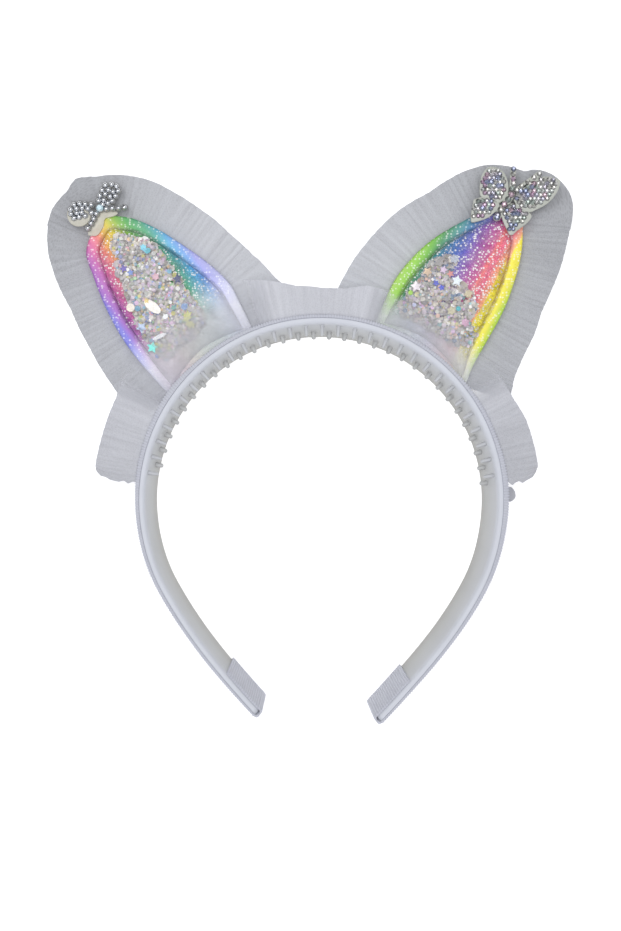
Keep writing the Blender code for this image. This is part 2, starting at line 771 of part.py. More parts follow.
def main():
    clear_scene()
    pieces = [make_band(), make_ribbon(), make_band_ruffle()]
    for side, ear in EARS.items():
        pieces.append(make_ear_ruffle(side, ear))
        pieces.append(make_ear_back(side, ear))
        pieces.append(make_ear_window(side, ear))
        pieces.append(make_sequin_fill(side, ear))
    pieces.append(make_butterfly_left())
    pieces.append(make_butterfly_right())
    stand_on_origin(pieces)


main()
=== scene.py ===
# %% [markdown]
# # A child's sequin ear headband
#
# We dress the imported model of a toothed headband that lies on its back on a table. It has two
# leaf-shaped ears of rainbow glitter vinyl with loose sequins behind clear windows, a pleated
# tulle frill round each ear and along the band, and a jewelled butterfly on each tip. The model
# already has every piece at its real size. Here each one gets its real surface: finer shapes
# where the solid is only a stand-in, and a material with the detail that the real one shows.

# %% Load the frame
from math import atan2, cos, degrees, floor, hypot, pi, radians, sin, sqrt
from random import Random

import bmesh
import bpy
from mathutils import Matrix, Vector, noise


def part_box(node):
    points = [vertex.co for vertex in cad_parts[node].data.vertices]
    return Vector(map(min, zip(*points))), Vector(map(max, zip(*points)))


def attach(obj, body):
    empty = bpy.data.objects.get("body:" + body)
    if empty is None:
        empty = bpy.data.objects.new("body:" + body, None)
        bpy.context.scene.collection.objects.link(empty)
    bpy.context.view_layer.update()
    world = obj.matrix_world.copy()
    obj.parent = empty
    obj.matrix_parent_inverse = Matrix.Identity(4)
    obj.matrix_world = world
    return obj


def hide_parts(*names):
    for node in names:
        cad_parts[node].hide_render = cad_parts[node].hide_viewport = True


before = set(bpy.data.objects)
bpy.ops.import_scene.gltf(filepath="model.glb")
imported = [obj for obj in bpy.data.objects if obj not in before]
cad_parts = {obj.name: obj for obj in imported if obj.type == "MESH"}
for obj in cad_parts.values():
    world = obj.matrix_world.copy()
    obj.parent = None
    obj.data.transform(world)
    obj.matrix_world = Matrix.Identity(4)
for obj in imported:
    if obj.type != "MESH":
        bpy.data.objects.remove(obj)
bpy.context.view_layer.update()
print("nodes:", sorted(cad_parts))

# %% [markdown]
# ## Where things are
#
# Every piece is laid out in millimetres from the centre of the band's round part, because the
# ears, the frill and the teeth all point at that centre. The centre itself comes from the packed
# band, so it can't drift from the model. `at` turns such a point into metres in the scene.

# %% The band's centre
MM = 0.001
BAND_RADIUS = 60.0      # outer radius at the near edge
PLASTIC_FACE = 0.8      # how far the plastic lies behind the ribbon's face
BAND_DEPTH = 10.0
BAND_SKEW = 0.6         # the near edge is pushed this far to the right of the far one

band_low, band_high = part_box("band")
centre = Vector((
    (band_low.x + band_high.x) / 2 - BAND_SKEW * MM,
    band_high.y - (BAND_RADIUS - PLASTIC_FACE) * MM, 0.0))


def at(x, y, z):
    """A point in millimetres from the band's centre, as metres in the scene."""
    return Vector((x, y, z)) * MM + centre


def skewed(height):
    return BAND_SKEW * height / BAND_DEPTH


print("band centre in mm:", [round(value / MM, 2) for value in centre])

# %% [markdown]
# Some small things, such as single sequins, are placed from the photograph. `seen` gives
# the spot on the headband under a place of the 621 by 931 picture, at 0.324 mm to the pixel.

# %% From the picture to the headband
PIXEL = 0.324


def seen(column, row):
    """Millimetres from the band's centre under a place in the picture."""
    return (column - 319.5) * PIXEL, (500.0 - row) * PIXEL


print("middle of the picture in mm:", [round(v, 1) for v in seen(310.5, 465.5)])

# %% [markdown]
# Other measures change along a piece, such as the width of a frill. They are short tables of a
# place and a value, read with a soft blend between their rows, so that no corner shows.

# %% Reading a table
def look_up(rows, share, column=1, soft=False):
    """Read a table between its rows, in straight lines or in soft ones."""
    for low, high in zip(rows, rows[1:]):
        if share <= high[0]:
            blend = max(0.0, (share - low[0]) / (high[0] - low[0]))
            if soft:
                blend = blend * blend * (3.0 - 2.0 * blend)
            return low[column] + (high[column] - low[column]) * blend
    return rows[-1][column]


print("halfway up a soft step:", look_up(((0, 0), (1, 2)), 0.5, soft=True))

# %% [markdown]
# ## Camera
#
# The photograph looks straight down on the headband from about half a metre, so the camera does
# too. A lens is a length in front of a sensor: the longer side of the picture is 931 pixels and
# the sensor's longer side is 36 mm, which turns the scale of the picture into a focal length.

# %% Camera
CAMERA_HEIGHT = 480.0
AIM = (-2.9, 11.2)
NEAR_EDGE = 10.0

camera_data = bpy.data.cameras.new("camera")
camera_data.sensor_width = 36.0
camera_data.lens = (CAMERA_HEIGHT - NEAR_EDGE) / PIXEL * 36.0 / 931.0
camera_data.clip_start = 0.01
camera = bpy.data.objects.new("camera", camera_data)
camera.location = at(AIM[0], AIM[1], CAMERA_HEIGHT)
bpy.context.scene.collection.objects.link(camera)
bpy.context.scene.camera = camera
print("lens in mm:", round(camera_data.lens, 1))

# %% [markdown]
# ## Helpers for meshes
#
# Most pieces here are strips and skins: a ribbon, a frill, a film. The shortest way to such a
# shape is a flat grid whose points are moved to their place by a rule. `laid_grid` makes the
# grid with Blender's own operator, keeps how far each point is along and across as a UV map in
# centimetres, and then lays every point where the rule says. Where a material has to change over
# the piece, each point also keeps a number under a name, which the material reads back.
# `closed` joins the seam of a grid that was wrapped round and fills what is left open.

# %% A grid laid by a rule
def new_piece(name, bm, material):
    """A finished piece from a bmesh: smooth, and riding on the root."""
    mesh = bpy.data.meshes.new(name)
    bm.to_mesh(mesh)
    bm.free()
    mesh.materials.append(material)
    mesh.shade_smooth()
    piece = bpy.data.objects.new(name, mesh)
    bpy.context.scene.collection.objects.link(piece)
    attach(piece, "root")
    print(name, len(mesh.polygons), "faces")
    return piece


def laid_grid(along, across, place, uv=None, marks=None):
    """A grid of along x across faces, its points where place(u, v) says, each from 0 to 1."""
    bm = bmesh.new()
    bmesh.ops.create_grid(bm, x_segments=along, y_segments=across, size=0.5)
    if uv:
        layer = bm.loops.layers.uv.new("flat")
        for face in bm.faces:
            for loop in face.loops:
                spot = loop.vert.co
                loop[layer].uv = uv(spot.x + 0.5, spot.y + 0.5)
    for name, rule in (marks or {}).items():
        layer = bm.verts.layers.float.new(name)
        for vert in bm.verts:
            vert[layer] = rule(vert.co.x + 0.5, vert.co.y + 0.5)
    for vert in bm.verts:
        vert.co = place(vert.co.x + 0.5, vert.co.y + 0.5)
    return bm


def closed(bm, distance=0.005, fill=True):
    """Join the points that a wrapped grid has twice, fill its ends and face it outward."""
    bmesh.ops.remove_doubles(bm, verts=bm.verts, dist=distance * MM)
    if fill:
        bmesh.ops.holes_fill(bm, edges=bm.edges, sides=0)
    bmesh.ops.recalc_face_normals(bm, faces=bm.faces)
    return bm


# %% [markdown]
# Small things that come in numbers, such as teeth, studs, stones and sequins, are made once and
# stamped. `stamp` copies a shape into a bmesh, moves the copy into place and gives its faces a
# colour of their own, which the material reads back from the colour attribute. It counts on new
# points coming last, so it is used on bmeshes that nothing has been deleted from.

# %% Stamping
def stamp(bm, shape, matrix, tint=None):
    """Copy a small mesh into a bmesh at a place, and colour the copy's faces."""
    first_vert, first_face = len(bm.verts), len(bm.faces)
    bm.from_mesh(shape)
    bm.verts.ensure_lookup_table()
    bmesh.ops.transform(bm, matrix=matrix, verts=bm.verts[first_vert:])
    if tint is not None:
        layer = bm.loops.layers.float_color.get("tint") or bm.loops.layers.float_color.new("tint")
        bm.faces.ensure_lookup_table()
        for face in bm.faces[first_face:]:
            for loop in face.loops:
                loop[layer] = (*tint, 1.0)


def small_shape(name, bm):
    """Keep a bmesh as a mesh to stamp from."""
    bmesh.ops.recalc_face_normals(bm, faces=bm.faces)
    mesh = bpy.data.meshes.new(name)
    bm.to_mesh(mesh)
    bm.free()
    return mesh


# %% [markdown]
# Flat drops of glue, plates of resin and scraps of net are all an outline that is filled, raised
# and rounded at its top edge.

# %% A flat drop
def drop_mesh(outline, bottom, thickness, edge):
    """A flat drop: an outline filled, raised and bevelled round its top."""
    bm = bmesh.new()
    bmesh.ops.create_circle(bm, cap_ends=True, segments=len(outline), radius=1.0)
    bm.verts.ensure_lookup_table()
    for vert, (x, y) in zip(bm.verts, outline):
        vert.co = at(x, y, bottom)
    faces = list(bm.faces)
    raised = bmesh.ops.extrude_face_region(bm, geom=faces)["geom"]
    tops = [g for g in raised if isinstance(g, bmesh.types.BMVert)]
    bmesh.ops.translate(bm, vec=(0, 0, thickness * MM), verts=tops)
    top_height = (bottom + thickness) * MM - 1e-7
    rim = [e for e in bm.edges if all(v.co.z > top_height for v in e.verts)]
    bmesh.ops.bevel(bm, geom=rim, offset=edge * MM, affect='EDGES', segments=3, profile=0.5,
                    material=-1)
    bmesh.ops.recalc_face_normals(bm, faces=bm.faces)
    return bm


print("mesh helpers ready")

# %% [markdown]
# ## Helpers for materials
#
# Colours are read off the photograph as the 0 to 255 numbers of a picture and turned into the
# linear light that the shader works in. `add` puts one node into a material and wires or sets its
# inputs by name. The helpers after it are the nodes that nearly every material needs, so that
# each material below reads as a short recipe.

# %% Nodes
def paint(red, green, blue):
    """Linear colour from the 0 to 255 numbers of a picture."""
    return tuple(
        (c / 255 / 12.92) if c <= 10 else ((c / 255 + 0.055) / 1.055) ** 2.4
        for c in (red, green, blue))


def new_material(name, colour, roughness):
    """A named material with its main colour and roughness set on the shader."""
    material = bpy.data.materials.new(name)
    material.use_nodes = True
    material.diffuse_color = (*colour, 1.0)
    shader = material.node_tree.nodes["Principled BSDF"]
    shader.inputs["Base Color"].default_value = (*colour, 1.0)
    shader.inputs["Roughness"].default_value = roughness
    return material, material.node_tree, shader


def add(tree, kind, inputs=None, **settings):
    """One node with its settings, its inputs wired from sockets or set to values."""
    made = tree.nodes.new(kind)
    for name, value in settings.items():
        setattr(made, name, value)
    for name, value in (inputs or {}).items():
        if isinstance(value, bpy.types.NodeSocket):
            tree.links.new(value, made.inputs[name])
        else:
            made.inputs[name].default_value = value
    return made


def ramp(tree, factor, stops):
    """A colour ramp through (place, colour) stops."""
    made = add(tree, 'ShaderNodeValToRGB', {"Fac": factor})
    elements = made.color_ramp.elements
    while len(elements) < len(stops):
        elements.new(0.5)
    for element, (place, colour) in zip(elements, stops):
        element.position = place
        element.color = (*colour, 1.0)
    return made.outputs["Color"]


def grey(value):
    return (value, value, value)


def drive(tree, shader, name, factor, stops):
    """Let a factor run one of the shader's inputs through a ramp."""
    tree.links.new(ramp(tree, factor, stops), shader.inputs[name])


def mixed(tree, share, first, second, how='MIX'):
    """Two colours mixed or multiplied, by a share of the second."""
    return add(tree, 'ShaderNodeMix', {"Factor": share, "A": first, "B": second},
               data_type='RGBA', blend_type=how).outputs["Result"]


def maths(tree, operation, *values):
    """One sum on sockets and plain numbers."""
    return add(tree, 'ShaderNodeMath', dict(enumerate(values)), operation=operation).outputs[0]


def ranged(tree, value, low, high, to_low=0.0, to_high=1.0):
    """A value taken from one range to another and held at both ends."""
    return add(tree, 'ShaderNodeMapRange', {
        "Value": value, "From Min": low, "From Max": high,
        "To Min": to_low, "To Max": to_high}).outputs["Result"]


def marked(tree, name, output="Fac"):
    """The number or the colour that the mesh keeps under a name."""
    return add(tree, 'ShaderNodeAttribute', attribute_name=name).outputs[output]


def spots(tree, scale, detail=2.0, coordinates="Object", stretch=(1.0, 1.0, 1.0)):
    """Noise on the piece's own coordinates, stretched where asked."""
    source = add(tree, 'ShaderNodeTexCoord').outputs[coordinates]
    spread = add(tree, 'ShaderNodeMapping', {"Vector": source, "Scale": stretch})
    return add(tree, 'ShaderNodeTexNoise', {
        "Vector": spread.outputs[0], "Scale": scale, "Detail": detail}).outputs["Fac"]


def bump(tree, shader, height, strength, distance):
    """Relief from a height, in metres."""
    relief = add(tree, 'ShaderNodeBump', {
        "Height": height, "Strength": strength, "Distance": distance})
    tree.links.new(relief.outputs["Normal"], shader.inputs["Normal"])


# %% [markdown]
# ## Light and table
#
# The photograph is a shop picture: flat, soft light from above and a table so bright that it is
# plain white. One large soft lamp overhead, a weaker one off to the upper right and a pale
# surround do that. A small lamp off to the upper left gives the film, the beads and the flakes
# their glints. The surround is darker toward the horizon, most of all beyond the top of the
# picture, because the dark upper rims of the studs and stones are its reflection.

# %% Light and table
SKY_TILT = -0.45        # how much darker the surround is beyond the top of the picture
SKY_STOPS = [(0.0, grey(0.05)), (0.28, grey(0.30)), (0.75, (0.78, 0.79, 0.82))]
SKY_STRENGTH = 0.80
LAMPS = (       # name, size in metres, power, place in millimetres, tilt in degrees
    ("overhead", 0.60, 3.0, (-70.0, 60.0, 900.0), (-4, -4)),
    ("fill", 0.25, 0.45, (420.0, 320.0, 600.0), (-25, 32)),
    ("glint", 0.05, 0.70, (-330.0, 330.0, 760.0), (-22, -22)))
TABLE_GLOW = 0.45

scene = bpy.context.scene
scene.view_settings.view_transform = 'Standard'

world = bpy.data.worlds.new("surround")
world.use_nodes = True
scene.world = world
sky = world.node_tree
direction = add(sky, 'ShaderNodeTexCoord').outputs["Generated"]
axes = add(sky, 'ShaderNodeSeparateXYZ', {"Vector": direction}).outputs
risen = maths(sky, 'MULTIPLY_ADD', axes["Y"], SKY_TILT, axes["Z"])
drive(sky, sky.nodes["Background"], "Color", risen, SKY_STOPS)
sky.nodes["Background"].inputs["Strength"].default_value = SKY_STRENGTH

for name, size, power, place, tilt in LAMPS:
    data = bpy.data.lights.new(name, 'AREA')
    data.shape = 'SQUARE'
    data.size = size
    data.energy = power
    lamp = bpy.data.objects.new(name, data)
    lamp.location = at(*place)
    lamp.rotation_euler = (radians(tilt[0]), radians(tilt[1]), 0.0)
    scene.collection.objects.link(lamp)

table_bm = bmesh.new()
bmesh.ops.create_grid(table_bm, x_segments=4, y_segments=4, size=1.5)
table_mesh = bpy.data.meshes.new("table")
table_bm.to_mesh(table_mesh)
table_bm.free()
table = bpy.data.objects.new("table", table_mesh)
scene.collection.objects.link(table)
table_white, _, table_shader = new_material("table_white", grey(0.92), 0.9)
table_shader.inputs["Emission Color"].default_value = (1.0, 1.0, 1.0, 1.0)
table_shader.inputs["Emission Strength"].default_value = TABLE_GLOW
table_shader.inputs["Specular IOR Level"].default_value = 0.0
table_mesh.materials.append(table_white)
print("lamps:", len(LAMPS))

# %% [markdown]
# ## Band
#
# The band is one moulding of satin white plastic, wider at the near edge than at the far one,
# round at the top and nearly straight down the legs. On the real thing every edge is rounded by
# the mould. A bevel on the solid would do it, but the legs bend on another radius than the top,
# so a grid wrapped round the band's section is as short and gives even faces. `rail` is the path:
# how far from the top, how far out, and how high between the far and the near edge.

# %% The band's path
BAND_ARC = radians(120.0)
LEG_RADIUS = 215.0
LEG_LEFT, LEG_RIGHT = 50.0, 53.0
BAND_FLARE = 4.0
BAND_WALL = 1.8
TIP_SLANT = 2.0
BOW_MIDDLE, BOW_REACH = 135.0, 36.0      # where the legs stand out a little, along the band
BOW_LEFT, BOW_RIGHT = 0.5, 0.9
ROUND_LENGTH = BAND_RADIUS * BAND_ARC


def rail(distance, offset, level):
    """A point of the band, positive distances to the right of the top."""
    side, leg = (1.0, LEG_RIGHT) if distance >= 0.0 else (-1.0, LEG_LEFT)
    down = abs(distance) * (1.0 - TIP_SLANT * (1.0 - level) / (ROUND_LENGTH + leg))
    offset -= BAND_FLARE * (1.0 - level)
    away = min(1.0, abs(down - BOW_MIDDLE) / BOW_REACH)
    offset += (BOW_RIGHT if side > 0 else BOW_LEFT) * cos(pi / 2 * away) ** 2
    if down <= ROUND_LENGTH:
        turn = down / BAND_RADIUS
        x, y = sin(turn) * (BAND_RADIUS + offset), cos(turn) * (BAND_RADIUS + offset)
    else:
        turn = BAND_ARC + (down - ROUND_LENGTH) / LEG_RADIUS
        reach = BAND_RADIUS - LEG_RADIUS
        x = sin(BAND_ARC) * reach + sin(turn) * (LEG_RADIUS + offset)
        y = cos(BAND_ARC) * reach + cos(turn) * (LEG_RADIUS + offset)
    height = BAND_DEPTH * level
    return Vector((side * x + skewed(height), y, height))


BAND_START, BAND_END = -(ROUND_LENGTH + LEG_LEFT), ROUND_LENGTH + LEG_RIGHT
print("band's outer edge in mm:", round(BAND_END - BAND_START, 1))


# %% [markdown]
# A rounded rectangle is the section of both the band and the ribbon. One function gives it, in
# millimetres outward and upward, with a short arc at each corner.

# %% A rounded section
def rounded_section(inside, outside, low, high, inner, outer, steps=4):
    """Points (offset, height) round a rectangle, its corners rounded by two radii."""
    points = []
    corners = (
        (outside - outer, high - outer, outer, 0.0), (inside + inner, high - inner, inner, 90.0),
        (inside + inner, low + inner, inner, 180.0), (outside - outer, low + outer, outer, 270.0))
    for x, y, radius, start in corners:
        for i in range(steps + 1):
            turn = radians(start + 90.0 * i / steps)
            points.append((x + radius * cos(turn), y + radius * sin(turn)))
    return points


def read_ring(points, share):
    """The point at a share of the way round a closed list of points."""
    place = (share % 1.0) * len(points)
    first = floor(place)
    a, b = points[first % len(points)], points[(first + 1) % len(points)]
    blend = place - first
    return tuple(p + (q - p) * blend for p, q in zip(a, b))


BAND_STEPS = 240
INNER_CORNER, OUTER_CORNER = 0.80, 0.30     # radii of the section's corners

inner_wall = -PLASTIC_FACE - BAND_WALL
band_section = rounded_section(
    inner_wall, -PLASTIC_FACE, 0.0, BAND_DEPTH, INNER_CORNER, OUTER_CORNER)


def band_place(u, v):
    offset, height = read_ring(band_section, v)
    distance = BAND_START + (BAND_END - BAND_START) * u
    return at(*rail(distance, offset, height / BAND_DEPTH))


band_bm = closed(laid_grid(BAND_STEPS, len(band_section), band_place))
print("band section points:", len(band_section))

# %% [markdown]
# The comb teeth are small cones, in two rows that are half a pitch apart: slim ones near the
# edge that faces us, and short, blunt ones below. A tooth is made once for each row: a cone whose
# tip edge is bevelled round. Each copy is turned from straight up to straight in from the wall.

# %% Teeth
TOOTH_ROOT = 0.8
TOOTH_PITCH = 5.7
TEETH_LEFT, TEETH_RIGHT = 85.0, 91.0
TOOTH_ROWS = ((0.80, 3.2, 0.72, 0.48), (0.37, 2.3, 0.95, 0.62))    # level, length, two radii


def tooth_shape(name, length, root_radius, tip_radius):
    bm = bmesh.new()
    bmesh.ops.create_cone(bm, cap_ends=True, segments=16, radius1=root_radius,
                          radius2=tip_radius, depth=length + TOOTH_ROOT)
    tip_edges = [e for e in bm.edges if all(v.co.z > 0 for v in e.verts)]
    bmesh.ops.bevel(bm, geom=tip_edges, offset=tip_radius * 0.8, affect='EDGES', segments=4,
                    profile=0.5, material=-1)
    bmesh.ops.scale(bm, vec=(MM, MM, MM), verts=bm.verts)
    return small_shape(name, bm)


comb_bm = bmesh.new()
teeth = 0
for row, (level, length, root_radius, tip_radius) in enumerate(TOOTH_ROWS):
    tooth = tooth_shape("tooth_%d" % row, length, root_radius, tip_radius)
    distance = -TEETH_LEFT + TOOTH_PITCH * 0.5 * row
    while distance <= TEETH_RIGHT:
        root = at(*rail(distance, inner_wall + TOOTH_ROOT, level))
        tip = at(*rail(distance, inner_wall - length, level))
        turn = Vector((0, 0, 1)).rotation_difference(tip - root).to_matrix().to_4x4()
        stamp(comb_bm, tooth, Matrix.Translation((root + tip) / 2) @ turn)
        distance += TOOTH_PITCH
        teeth += 1
band_bm.from_mesh(small_shape("comb", comb_bm))
print("teeth:", teeth)

# %% [markdown]
# ### White plastic
#
# Moulded polypropylene is satin: smooth enough for a soft highlight, with a faint unevenness
# where it shrank. A ramp over the height paints it darker toward the far edge on the table and
# lighter toward the near edge: painted shade below and painted light along the near edge.

# %% White plastic
# Painted shade and light: darker toward the far edge on the table, lighter toward the near edge.
PLASTIC_PAINTED_SHADE = [      # from the far edge on the table to the near one
    (0.0, paint(172, 171, 167)), (0.45, paint(190, 191, 191)), (0.85, paint(199, 201, 205)),
    (1.0, paint(214, 217, 226))]

white_plastic, tree, shader = new_material("white_plastic", paint(200, 201, 203), 0.48)
place = add(tree, 'ShaderNodeTexCoord').outputs["Object"]
height = add(tree, 'ShaderNodeSeparateXYZ', {"Vector": place}).outputs["Z"]
body = ramp(tree, ranged(tree, height, 0.0, BAND_DEPTH * MM), PLASTIC_PAINTED_SHADE)
mottle = ramp(tree, spots(tree, 90.0, 4.0), [(0.3, grey(0.95)), (0.7, grey(1.0))])
tree.links.new(mixed(tree, 1.0, body, mottle, 'MULTIPLY'), shader.inputs["Base Color"])
drive(tree, shader, "Roughness", spots(tree, 260.0, 5.0), [(0.2, grey(0.42)), (0.8, grey(0.58))])
bump(tree, shader, spots(tree, 700.0, 3.0), 0.25, 0.00012)

band = new_piece("white_band", band_bm, white_plastic)
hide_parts("band")

# %% [markdown]
# ## Ribbon
#
# Grosgrain is woven with thick cross threads, so it is a row of ribs about half a millimetre
# wide, and its edges are lines of tiny bumps. It lies on the band's outer face, goes round both
# tips and is glued back inside. A grid walks that way once, and two steps in every four stand a
# little prouder, which is the ribs. Its near edge is up to a millimetre thicker, so from above it
# is a bright ribbed line along the plastic.

# %% The ribbon's walk
RIBBON_THICKNESS, GAP = 0.5, 0.3
RIBBON_FOLD = 16.0
RIB_PITCH = 0.9
RIB_STEPS = 4           # steps of the walk in one rib and its hollow
RIB_RELIEF = 0.09
EDGE_BUMP = 0.06        # how far the ribs stand out of the ribbon's two edges
TIP_STEPS, TIP_BULGE = 8, 0.6       # how finely and how roundly it turns over at a tip
COVERED_FACE = -0.22    # the ribbon lies this much nearer to the plastic than the gap
RIBBON_MAP = (39.2, 2.0)        # its length and the way round it, in centimetres
EDGE_FLARE = (      # distance from the top, how much thicker the near edge is
    (-176.0, 0.1), (-150.0, 0.3), (-105.0, 0.5), (-75.0, 0.8), (-57.0, 1.2), (-42.0, 0.6),
    (0.0, 0.4), (45.0, 0.5), (70.0, 0.7), (90.0, 1.1), (125.0, 0.6), (150.0, 0.3), (179.0, 0.1))
FLARE_FROM = 6.5        # height where the edge begins to thicken
FLARE_BEND = 1.6        # how late in that height it does most of it

outside = -PLASTIC_FACE + GAP
inside = inner_wall - GAP


def ribbon_stations():
    """Distance along the band and offset of the ribbon's covered face, with its outward side."""
    step = RIB_PITCH / RIB_STEPS
    reach, middle = (outside - inside) / 2, (outside + inside) / 2

    def tip_end(tip, side):
        """Along the fold inside the band, then half a turn round the tip to the outer face."""
        count = round(RIBBON_FOLD / step)
        fold = [(tip - side * RIBBON_FOLD * (1.0 - i / count), inside, -1.0)
                for i in range(count)]
        turns = [pi * i / TIP_STEPS for i in range(TIP_STEPS + 1)]
        return fold + [(tip + side * (GAP + TIP_BULGE * reach * sin(turn)),
                        middle - reach * cos(turn), -cos(turn)) for turn in turns]

    count = round((BAND_END - BAND_START) / step)
    outer = [(BAND_START + (BAND_END - BAND_START) * i / count, outside, 1.0)
             for i in range(1, count)]
    return tip_end(BAND_START, -1.0) + outer + tip_end(BAND_END, 1.0)[::-1]


stations = ribbon_stations()
ribbon_section = rounded_section(
    COVERED_FACE, RIBBON_THICKNESS, 0.2, BAND_DEPTH - 0.1, 0.1, 0.25, steps=2)


def on_rib(u):
    """1 on a rib and 0 in the hollow beside it, at a share of the walk."""
    return 1.0 if round(u * (len(stations) - 1)) % RIB_STEPS < RIB_STEPS / 2 else 0.0


def ribbon_place(u, v):
    distance, offset, side = stations[round(u * (len(stations) - 1))]
    reach, height = read_ring(ribbon_section, v)
    relief = 2.0 * on_rib(u) - 1.0
    if abs(height - BAND_DEPTH / 2) > BAND_DEPTH / 2 - 0.5:
        height += EDGE_BUMP * relief
    if reach > 0.0:
        near = max(0.0, (height - FLARE_FROM) / (BAND_DEPTH - FLARE_FROM)) ** FLARE_BEND
        flare = look_up(EDGE_FLARE, distance, soft=True) * near * max(0.0, side)
        reach += RIB_RELIEF * relief + flare
    shift = 0.0 if abs(side) == 1.0 else sqrt(max(0.0, 1.0 - side * side))
    end = 1.0 if distance > 0 else -1.0
    return at(*rail(distance + end * shift * reach, offset + side * reach, height / BAND_DEPTH))


ribbon_bm = closed(laid_grid(
    len(stations) - 1, len(ribbon_section), ribbon_place,
    uv=lambda u, v: (u * RIBBON_MAP[0], v * RIBBON_MAP[1]), marks={"rib": lambda u, v: on_rib(u)}))
print("ribbon stations:", len(stations))

# %% [markdown]
# ### Grosgrain
#
# The weave is matt with a slight sheen. The ribs are in the mesh, which also marks the hollows
# between them; the material paints those hollows darker, as painted shade. The material adds the
# fine threads that cross them, on the ribbon's own UV map.

# %% Grosgrain
grosgrain, tree, shader = new_material("grosgrain", paint(226, 228, 236), 0.62)
flat_map = add(tree, 'ShaderNodeTexCoord').outputs["UV"]
threads = add(tree, 'ShaderNodeTexWave', {
    "Vector": flat_map, "Scale": 14.0, "Distortion": 0.6, "Detail": 1.0},
    wave_type='BANDS', bands_direction='X').outputs["Fac"]
cloud = spots(tree, 160.0, 3.0)
weave = ramp(tree, maths(tree, 'MULTIPLY', threads, cloud), [
    (0.0, paint(196, 198, 210)), (0.6, paint(214, 216, 225))])
# Painted shade: the hollows between the ribs are painted a tenth darker.
painted_hollow_shade = ramp(tree, marked(tree, "rib"), [(0.2, grey(0.90)), (0.8, grey(1.0))])
tree.links.new(mixed(tree, 1.0, weave, painted_hollow_shade, 'MULTIPLY'), shader.inputs["Base Color"])
drive(tree, shader, "Roughness", cloud, [(0.2, grey(0.52)), (0.8, grey(0.72))])
bump(tree, shader, threads, 0.5, 0.00008)
shader.inputs["Sheen Weight"].default_value = 0.15

ribbon = new_piece("grosgrain_ribbon", ribbon_bm, grosgrain)
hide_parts("ribbon")

# %% [markdown]
# ## Ears
#
# Each ear is a leaf: its outline comes from a short table of half widths along it, smoothed into
# one line. `ear_ring` closes the line along the curve of the band, and `inward` moves a point of
# it toward the ear's middle. The vinyl and the window use the same two rules, so they fit each
# other as they do when they are welded together. Both turn milky or white near the ear's foot,
# and `fading` says how near to it a point lies.

# %% Ear outlines
EAR_HALF_WIDTH = 20.0
EAR_PEAK = 0.10
WINDOW_SEAM = 4.5
LEAF_HEIGHT = 7.0       # where the outline is taken, over the table
WINDOW_FLOOR = 6.4
DOME_HEIGHT = 3.8
DOME_FLAT = 0.7
SPINE_LOW, SPINE_HIGH, SPINE_STEPS = 0.30, 0.80, 24     # the middle line, as shares of the ear
EAR_OUTLINE_LEFT = (
    (0.00, 0.88, 0.84), (0.11, 1.00, 0.87), (0.25, 1.07, 0.88), (0.41, 1.01, 0.85),
    (0.59, 0.87, 0.75), (0.77, 0.69, 0.59), (0.92, 0.44, 0.40))
EAR_OUTLINE_RIGHT = (
    (0.00, 0.94, 0.86), (0.08, 1.03, 0.76), (0.24, 1.10, 0.71), (0.41, 1.07, 0.66),
    (0.57, 0.96, 0.56), (0.76, 0.72, 0.37), (0.91, 0.46, 0.12))
DOME_PROFILE = ((0.00, 0.80), (0.30, 1.00), (0.58, 1.00), (0.78, 0.35), (1.00, 0.30))

EARS = {
    "left": {"angle": radians(129.0), "inward": 1.0, "length": 56.2,
             "outline": EAR_OUTLINE_LEFT, "fade": (9.0, 21.0)},
    "right": {"angle": radians(54.5), "inward": -1.0, "length": 55.5,
              "outline": EAR_OUTLINE_RIGHT, "fade": (3.0, 12.0)},
}


def smooth_line(points, steps=12):
    """A smooth curve through a few points."""
    ends = [points[0] * 2 - points[1]] + points + [points[-1] * 2 - points[-2]]
    line = []
    for a, b, c, d in zip(ends, ends[1:], ends[2:], ends[3:]):
        for k in range(steps):
            t = k / steps
            line.append(0.5 * (2 * b + (c - a) * t + (2 * a - 5 * b + 4 * c - d) * t ** 2
                               + (3 * b - a - 3 * c + d) * t ** 3))
    return line + [points[-1]]


def walked(line):
    """How far along a line each of its points is."""
    lengths = [0.0]
    for a, b in zip(line, line[1:]):
        lengths.append(lengths[-1] + (b - a).length)
    return lengths


def even_points(line, count):
    """Points at equal distances along a line, both ends included."""
    lengths = walked(line)
    points, k = [], 0
    for i in range(count):
        goal = lengths[-1] * i / (count - 1)
        while k < len(line) - 2 and lengths[k + 1] < goal:
            k += 1
        blend = (goal - lengths[k]) / (lengths[k + 1] - lengths[k])
        points.append(line[k].lerp(line[k + 1], min(blend, 1.0)))
    return points


def on_ear(ear, point, height):
    """Place a point of an ear, across and along it, in millimetres from the band's centre."""
    x = cos(ear["angle"]) * (BAND_RADIUS + point.y) + sin(ear["angle"]) * ear["inward"] * point.x
    y = sin(ear["angle"]) * (BAND_RADIUS + point.y) - cos(ear["angle"]) * ear["inward"] * point.x
    return Vector((x + skewed(height), y, height))


def foot_point(across, seat):
    """A point of an ear's foot, which follows the curve of the band."""
    return Vector((across, sqrt(seat ** 2 - across ** 2) - BAND_RADIUS))


def ear_sides(ear, seat, count):
    """The outline from the outer foot over the tip to the inner foot."""
    rows, length = ear["outline"], ear["length"]
    outer = [Vector((-row[2] * EAR_HALF_WIDTH, row[0] * length)) for row in rows[1:]]
    inner = [Vector((row[1] * EAR_HALF_WIDTH, row[0] * length)) for row in rows[1:]]
    peak = Vector((EAR_PEAK * EAR_HALF_WIDTH, length))
    points = [foot_point(-rows[0][2] * EAR_HALF_WIDTH, seat)] + outer + [peak]
    points += inner[::-1] + [foot_point(rows[0][1] * EAR_HALF_WIDTH, seat)]
    return even_points(smooth_line(points), count)


